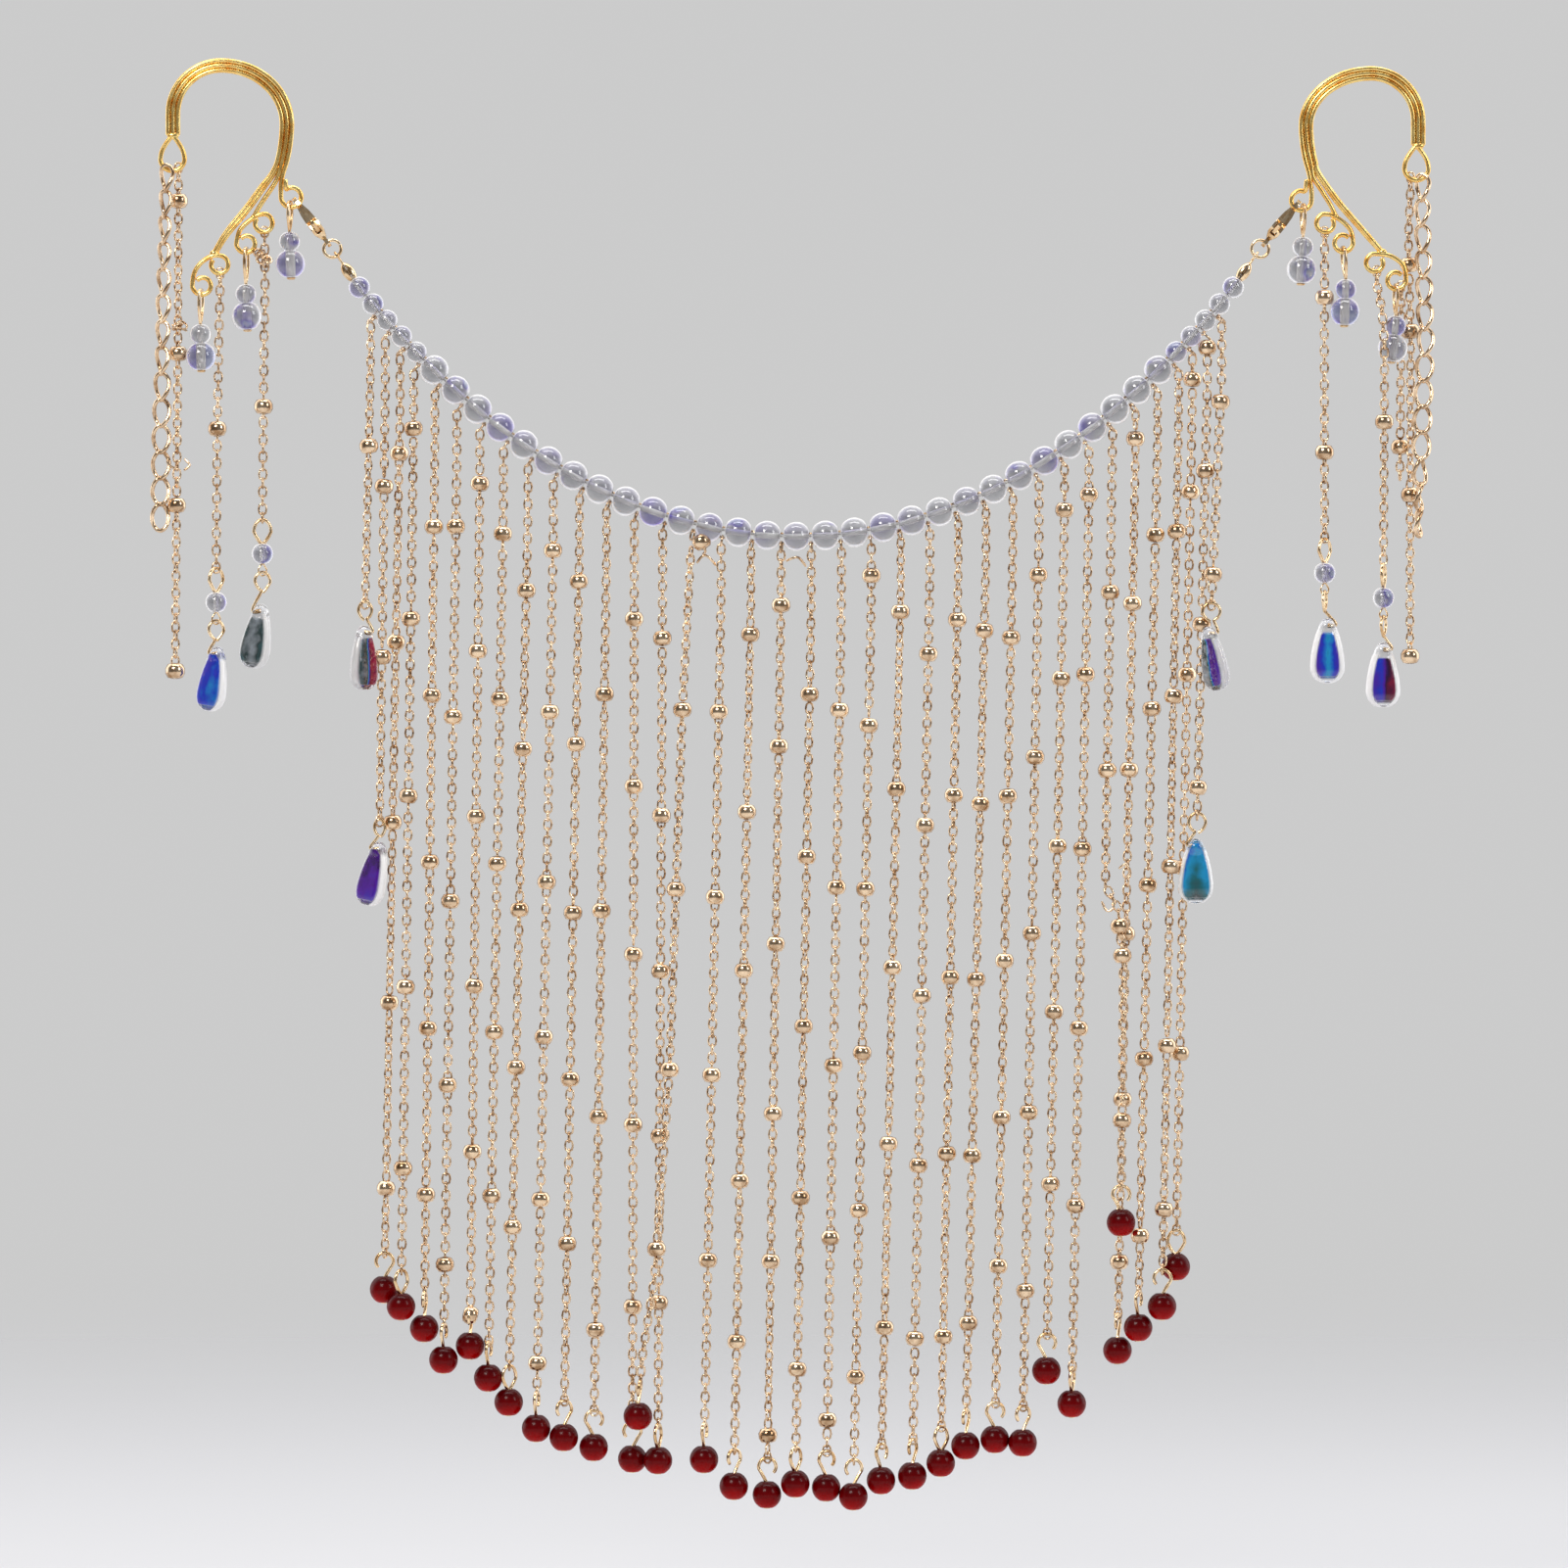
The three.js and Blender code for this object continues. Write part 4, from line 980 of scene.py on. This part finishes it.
# the three wires of the arch come apart below the ear: each goes on through its own points
hookRows = {
    "left": {"side": 1, "top": (-129.2, 2.2), "backLeg": -140.0, "backFoot": -13.7, "backLoop": (-140.1, -18.8),
             "frontLeg": (-114.4, -11), "split": (-115.9, -20.9), "claspCurl": (-113.4, -27.4),
             "curlB": (-119.7, -33.3), "curlC": (-123.5, -37.8), "curlD": (-129.6, -42.6), "curlE": (-133.4, -47.2),
             "outer": [(-115.3, -22.2), (-115.7, -24.4), (-115.75, -25.8)],
             "middle": [(-116.1, -21.8), (-116.8, -23.7), (-117.9, -25.5), (-119.2, -27.4), (-120.3, -29.1),
                        (-121.2, -30.6), (-121.9, -32.0)],
             "inner": [(-117.2, -20.9), (-118.2, -22.6), (-120.1, -24.9), (-121.7, -27.1), (-123.3, -29.3),
                       (-125.1, -31.5), (-126.9, -33.7), (-128.5, -35.9), (-129.8, -38.1), (-130.8, -40.0)],
             "second": [(-116.5, -20.3), (-117.6, -22.6), (-119.3, -24.9), (-120.8, -27.1), (-122.4, -29.3),
                        (-124.1, -31.5), (-126.0, -33.7), (-127.8, -35.9), (-129.3, -38.1), (-130.3, -39.9)],
             "upperSpine": [(-121.1, -31.5), (-122.3, -32.3), (-123.9, -33.6), (-125.1, -35.1)],
             "lowerSpine": [(-130.8, -40.5), (-132.6, -41.3), (-134.3, -42.8), (-135.3, -44.7)]},
    "right": {"side": -1, "top": (129.1, 0.4), "backLeg": 139.7, "backFoot": -16.0, "backLoop": (139.3, -20.9),
              "frontLeg": (114.5, -11.4), "split": (115.9, -20.9), "claspCurl": (113.4, -28.1),
              "curlB": (118.9, -33.3), "curlC": (122.8, -37.6), "curlD": (130.0, -42.2), "curlE": (134.7, -46.0),
              "outer": [(115.2, -22.2), (115.5, -24.4), (115.75, -26.2)],
              "middle": [(115.9, -21.8), (116.4, -23.5), (117.6, -25.3), (118.8, -27.2), (119.9, -29.0),
                         (120.7, -30.6), (121.2, -31.8)],
              "inner": [(116.9, -20.9), (117.8, -22.6), (119.4, -24.9), (121.0, -27.1), (122.7, -29.3), (124.6, -31.5),
                        (126.5, -33.7), (128.4, -35.9), (130.3, -38.1), (131.7, -39.7)],
              "second": [(116.3, -20.3), (117.3, -22.6), (118.9, -24.9), (120.4, -27.1), (122.1, -29.3), (124.0, -31.5),
                         (126.0, -33.7), (127.9, -35.9), (129.9, -38.1), (131.3, -39.6)],
              "upperSpine": [(120.2, -31.4), (121.6, -32.1), (123.3, -33.4), (124.6, -35.0)],
              "lowerSpine": [(131.4, -40.2), (133.2, -40.5), (135.2, -41.6), (136.6, -43.2)]},
}


def turnRound(centre, fromDeg, toDeg, fromR, toR, count, side):
    points = []
    for i in range(count + 1):
        t = i / count
        angle = math.radians(fromDeg + (toDeg - fromDeg) * t)
        radius = fromR + (toR - fromR) * t
        points.append(flat(centre[0] + side * radius * math.cos(angle), centre[1] + radius * math.sin(angle)))
    return points


def archLine(row, offset):
    # one wire of the arch, offset across the bundle: positive is outside the ear
    topX, topZ = row["top"]
    side = row["side"]
    backWidth, frontWidth = abs(row["backLeg"] - topX), abs(row["frontLeg"][0] - topX)
    frontHeight = topZ - row["frontLeg"][1]
    points = [flat(row["backLeg"] - side * offset, row["backFoot"] + 0.2 - drop) for drop in (0, -2.0)]
    for deg in np.linspace(180, 0, 25):
        angle = math.radians(deg)
        if deg > 90:
            points.append(flat(topX + side * math.cos(angle) * (backWidth + offset),
                               topZ - backWidth + math.sin(angle) * (backWidth + offset)))
        else:
            points.append(flat(topX + side * math.cos(angle) * (frontWidth + offset),
                               row["frontLeg"][1] + math.sin(angle) * (frontHeight + offset)))
    # the front leg bends back in towards the split
    legX, legZ = row["frontLeg"]
    splitX, splitZ = row["split"]
    for t, bend in ((0.22, 0.06), (0.45, 0.22), (0.68, 0.48), (0.88, 0.8)):
        points.append(flat(legX + (splitX - legX) * bend + side * offset, legZ + (splitZ - legZ) * t))
    return points


def scrollLine(upper, spine, lower, upperR, lowerR, side):
    # one wire: a whole curl, over its crown, down the spine and round a second curl back to the spine
    return (turnRound(upper, 140, 440, upperR * 0.84, upperR, 13, side) + [flat(*place) for place in spine]
            + turnRound(lower, 178, 500, lowerR * 1.05, lowerR * 0.76, 13, side))


def backLoopLine(row):
    x, z = row["backLoop"]
    rise = row["backFoot"] - z
    points = []
    for deg in np.linspace(90, 450, 25)[:-1]:
        angle = math.radians(deg)
        up = math.sin(angle)
        narrow = 1 - 0.6 * max(up, 0) ** 2
        points.append(flat(x + curls["backLoop"] * math.cos(angle) * narrow,
                           z + (rise if up > 0 else curls["backLoop"]) * up))
    return points


def buildHook(sideName):
    row = hookRows[sideName]
    side, pitch, radius, sides = row["side"], hookWire["pitch"], hookWire["radius"], hookWire["sides"]

    def through(part, behind=0.0):
        return [flat(x, z, behind) for x, z in row[part]]

    tipX, tipZ = row["outer"][0]
    tip = [flat(tipX + side * 0.75, tipZ - 3.3, -0.5), flat(tipX + side * 0.6, tipZ - 1.2, -0.8)]
    lines = {
        "outer": archLine(row, pitch) + through("outer")
        + turnRound(row["claspCurl"], 185, 470, curls["claspCurl"] * 1.08, curls["claspCurl"], 13, side) + tip,
        "middle": archLine(row, 0) + through("middle"),
        "inner": archLine(row, -pitch) + through("inner"),
        "second": through("second", 0.25),
        "upperScroll": scrollLine(row["curlB"], row["upperSpine"], row["curlC"], curls["curlB"], curls["curlC"], side),
        "lowerScroll": scrollLine(row["curlD"], row["lowerSpine"], row["curlE"], curls["curlD"], curls["curlE"], side),
    }
    wires = [wirePiece(part, smoothPath(line, 4), radius, sides, finish="hookGold", taper=0.75)
             for part, line in lines.items()]
    loop = smoothPath(backLoopLine(row), 3, closed=True)
    wires.append(wirePiece("backLoop", loop, radius, sides, closed=True, finish="hookGold"))
    # the solder where the back loop and the scrolls meet the bundle
    blobs = [flat(row["backLeg"], row["backFoot"] + 0.1), flat(*row["inner"][-1]), flat(*row["middle"][-1])]
    for place, size in zip(blobs, hookWire["solder"]):
        bpy.ops.mesh.primitive_ico_sphere_add(subdivisions=3, radius=mm, location=place, scale=size)
        wires.append(settle(bpy.context.object))
        dress(wires[-1], "hookGold")
    hook = joinAll("earHookWires_" + sideName, wires)
    finishPiece(hook, "ear_hook_" + sideName)


for sideName in hookRows:
    buildHook(sideName)
print("ear hooks ready")


# ---------- clasps, levers and jump rings
claspFinish = {"edge": 0.42, "leverEdge": 0.2, "steps": 3}


def roundedCopy(node, name, body, edge):
    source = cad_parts[node]
    piece = source.copy()
    piece.data = source.data.copy()
    piece.parent = None
    piece.matrix_world = source.matrix_world.copy()
    piece.hide_render = piece.hide_viewport = False
    for key in list(piece.keys()):
        if key.startswith("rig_"):
            del piece[key]
    bpy.context.collection.objects.link(piece)
    piece.name = piece.data.name = name
    pick(piece)
    bpy.ops.object.mode_set(mode="EDIT")
    bpy.ops.mesh.select_all(action="SELECT")
    bpy.ops.mesh.remove_doubles(threshold=1e-6)
    bpy.ops.mesh.dissolve_limited(angle_limit=math.radians(1))
    bpy.ops.object.mode_set(mode="OBJECT")
    applyModifier("BEVEL", width=edge * mm, segments=claspFinish["steps"], limit_method="ANGLE",
                  use_clamp_overlap=True)
    applyModifier("TRIANGULATE")
    dress(piece, "findingGold")
    settle(piece, 40)
    finishPiece(piece, node, body)


for sideName in hookRows:
    roundedCopy("clasp_" + sideName, "claspBody_" + sideName, root, claspFinish["edge"])
    roundedCopy("clasp_lever_" + sideName, "claspLever_" + sideName, "lever_" + sideName,
                claspFinish["leverEdge"])
    x, z = beadString["jumpRing"][sideName]
    ringR = beadString["jumpRing"]["radius"]
    # cut open at one side, as bent rings are
    ring = turnRound((x, z), 35, 389, ringR, ringR, 40, 1)
    jump = wirePiece("jumpRing_" + sideName + "_wire", ring, beadString["jumpRing"]["wire"], 12)
    finishPiece(jump, "jump_ring_" + sideName)
print("clasps ready")


# ---------- what hangs on the hooks
# the hook's wire and the eye's as the solids have them, and the air between
seat = {"hookWire": 0.52, "eyeWire": 0.33, "clear": 0.3}


def seatOf(sideName, curl, shift):
    x, z = hookRows[sideName][curl]
    fall = math.sqrt(curls[curl] ** 2 - shift ** 2)
    level = fall / curls[curl]
    return x + shift, z - fall + (seat["hookWire"] + seat["eyeWire"]) / level + seat["clear"]


# hook, letter, curl, shift, then x and z of the small and the large bead
crystalDrops = [
    ("left", "a", "claspCurl", -0.3, (-113.8, -37.4), (-113.6, -42.4)),
    ("left", "c", "curlC", 0, (-123.6, -49.2), (-123.4, -54.1)),
    ("left", "e", "curlE", -0.3, (-133.8, -58.2), (-133.7, -63.2)),
    ("right", "a", "claspCurl", 0.5, (113.8, -38.6), (113.5, -43.7)),
    ("right", "c", "curlC", 0, (123.4, -48.1), (123.2, -53.1)),
    ("right", "e", "curlE", 0, (134.6, -56.3), (134.0, -61.3)),
]
crystalShape = {"radii": (2.45, 3.45), "eyeHalf": 1.6, "eyeWire": 0.36, "pinWire": 0.33, "turn": 0.24}


def eyeOverWire(x, top, length, turn):
    # a long eye: over the curl's wire, down both sides, and in to the shank; turned a little towards the front
    half = crystalShape["eyeHalf"]
    across = [(-length - 0.8, 0), (-length + 0.2, -0.1), (-length * 0.5, -half * 0.9), (-0.8, -half * 0.85),
              (-0.1, -0.8), (0, 0), (-0.1, 0.8), (-0.8, half * 0.85), (-length * 0.5, half * 0.9), (-length + 0.7, 0.3)]
    return [flat(x + out * math.sin(turn), top + z, out * math.cos(turn)) for z, out in across]


def buildCrystalDrop(row):
    sideName, letter, curl, shift, small, large = row
    short = f"{letter}_{sideName}"
    node = "crystal_drop_" + short
    smallR, largeR = crystalShape["radii"]
    x, top = seatOf(sideName, curl, shift)
    length = top - small[1] - smallR * 0.9
    lean = Vector((large[0] - small[0], 0, large[1] - small[1]))
    places = [placeAt(flat(*place), lean, random.uniform(0, 6), radius / glassBeads["dropBead"][0])
              for place, radius in ((small, smallR), (large, largeR))]
    finishPiece(copies("crystals_" + short, models["dropBead"], places, "crystalGlass"), node)
    line = eyeOverWire(x, top, length, crystalShape["turn"] * hookRows[sideName]["side"])
    slide = small[0] - x
    line = [place + Vector((slide * mm * min(1, (top * mm - place.z) / (length * mm)), 0, 0)) for place in line]
    eye = wirePiece("pinEye", smoothPath(line, 4), crystalShape["eyeWire"])
    foot = flat(*large) + lean.normalized() * largeR * 0.93 * mm
    pin = wirePiece("pinShank", [flat(small[0], top - length - 0.6), foot], crystalShape["pinWire"])
    head = copies("head", models["pinHead"], [placeAt(foot)], "findingGold")
    finishPiece(joinAll("eyePin_" + short, [eye, pin, head]), node)


for row in crystalDrops:
    buildCrystalDrop(row)
print("crystal drops ready")


# bends and foot are (x, y, z), satellites and crystal heights; tear is x and z of its top and its tilt, and
# drop its turn from the front, the side of the bail's leg and the bail's own turn
hangingRows = [
    {"node": "teardrop_chain_b_left", "eyeTurn": 0.1, "side": "left", "curl": "curlB", "shift": 0.3, "y": 0,
     "bends": [(-119.4, 1.6, -50), (-119.6, 2.4, -56), (-119.7, 0.8, -75)], "foot": (-119.9, 0, -100.2),
     "satellites": [-74.4], "crystal": -107.5, "tear": (-120.2, -118.7, -9), "drop": (-32, -1, 0.2)},
    {"node": "teardrop_chain_d_left", "eyeTurn": 0.7, "side": "left", "curl": "curlD", "shift": 0.2, "y": 0,
     "bends": [(-129.8, 2.2, -58), (-129.9, 2.6, -64), (-130.1, 1.0, -80)], "foot": (-130.3, 0, -111.4),
     "satellites": [-79.4], "crystal": -118.4, "tear": (-130.0, -128.3, -9), "drop": (-36, -1, 0.3)},
    {"node": "teardrop_chain_b_right", "eyeTurn": 0.8, "side": "right", "curl": "curlB", "shift": -0.2, "y": 0,
     "bends": [(118.6, 0, -60)], "foot": (118.7, 0, -104.6),
     "satellites": [-49.9, -84.7], "crystal": -111.8, "tear": (119.3, -121.9, 0), "drop": (0, 1, 1.3)},
    {"node": "teardrop_chain_d_right", "eyeTurn": 1.3, "side": "right", "curl": "curlD", "shift": 0.4, "y": 0,
     "bends": [(131.4, -3.2, -53), (131.9, -4.0, -61), (132.0, -1.4, -74)], "foot": (131.9, 0, -109.6),
     "satellites": [-77.9], "crystal": -117.4, "tear": (131.8, -127.3, 0), "drop": (6, 1, 1.2)},
    {"node": "satellite_chain_left", "side": "left", "curl": "backLoop", "shift": 1.3, "y": 0.9,
     "bends": [(-138.9, 0.6, -60)], "foot": (-139.5, 0, -133.8), "satellites": [-28.2, -62.5, -96.6],
     "endBead": 2.2},
    {"node": "extension_chain_left", "side": "left", "curl": "backLoop", "shift": -1.3, "y": -0.9, "kind": "curb",
     "turns": (-48, -62, -50, -55, -20, 4, 6),
     "bends": [(-141.8, -0.6, -30), (-142.4, -0.6, -60)], "foot": (-142.8, -0.6, -99.3), "satellites": []},
    {"node": "satellite_chain_right", "side": "right", "curl": "backLoop", "shift": -1.3, "y": 0.9,
     "bends": [(137.6, 1.7, -36), (138.2, 2.6, -60), (138.0, 1.8, -94)], "foot": (137.9, 0.6, -130.5),
     "satellites": [-42.5, -57.4, -94.2], "endBead": 2.1},
    {"node": "extension_chain_right", "side": "right", "curl": "backLoop", "shift": 1.3, "y": -0.9, "kind": "curb",
     "turns": (-50, -50, -46, -42, -6, 0, 74, 86),
     "bends": [(140.4, -1.8, -32), (141.2, -1.8, -60)], "foot": (139.7, -1.8, -100.6), "satellites": []},
    {"node": "short_chain_right", "side": "right", "curl": "curlE", "shift": 1.2, "y": 0,
     "bends": [(136.1, 3.4, -54.5), (136.3, 5.0, -60), (136.1, 5.0, -67)], "foot": (135.8, 3.6, -90.5),
     "satellites": [-83.4]},
]


def buildHanging(row):
    node = row["node"]
    x, top = seatOf(row["side"], row["curl"], row["shift"])
    points = [flat(x, top - 0.35, row["y"] * 0.3), flat(x, top - 3.8, row["y"])]
    points += [Vector(place) * mm for place in (*row["bends"], row["foot"])]
    foot = points[-1]
    length, at = routeTools(points)
    beads = [distanceAtHeight(points, z * mm) for z in row["satellites"]]
    kind = row.get("kind", "cable")
    pitch = linkSizes[kind]["pitch"] * mm
    if kind == "curb":
        links = chainPlaces(points, pitch, first=3.0 * mm, turns=row["turns"])
    else:
        links = chainPlaces(shorten(points, length - row.get("endBead", 0.8) * mm), pitch, beads, first=0.6 * mm)
    parts = [copies("links", models[kind], links, "chainGold")]
    where = [placeAt(*at(bead), random.uniform(0, 1)) for bead in beads]
    if "endBead" in row:
        where.append(placeAt(foot, scale=row["endBead"] / 2.1))
    if where:
        parts.append(copies("beads", models["satellite"], where, "chainGold"))
    short = node.replace("_chain", "")
    if "crystal" in row:
        crystal, half = flat(foot.x / mm, row["crystal"]), flat(0, 2.2)
        eyeUp, eyeDown = crystal + half, crystal - half
        tearX, tearTop, tilt = row["tear"]
        turn, side, bailTurn = row["drop"]
        parts.append(copies("eyes", models["eye"], [
            placeAt(eyeUp, turn=row["eyeTurn"]), placeAt(eyeDown, (0, 0, 1), 1.2, 0.5)], "findingGold"))
        tearFoot = flat(tearX, tearTop - teardropShape["length"] / 2)
        parts.append(tearBail(tearFoot, eyeDown - flat(0, 1.9), side, 3.5, 5.6, bailTurn, 0.6))
        drop = copies(short + "_teardrop", models["teardrop"], [tearPlace(tearFoot, tilt, turn)], "teardropGlass",
                      tearMarks(*tearHues[node]))
        finishPiece(drop, node)
        glass = copies(short + "_crystal", models["smallBead"], [placeAt(crystal, turn=0.6)], "crystalGlass")
        finishPiece(glass, node)
    finishPiece(joinAll(short + "_links", parts + caughtBits(node)), node)


for row in hangingRows:
    buildHanging(row)
print("hook chains ready")

for model in models.values():
    bpy.data.objects.remove(model, do_unlink=True)

print("pieces ready")
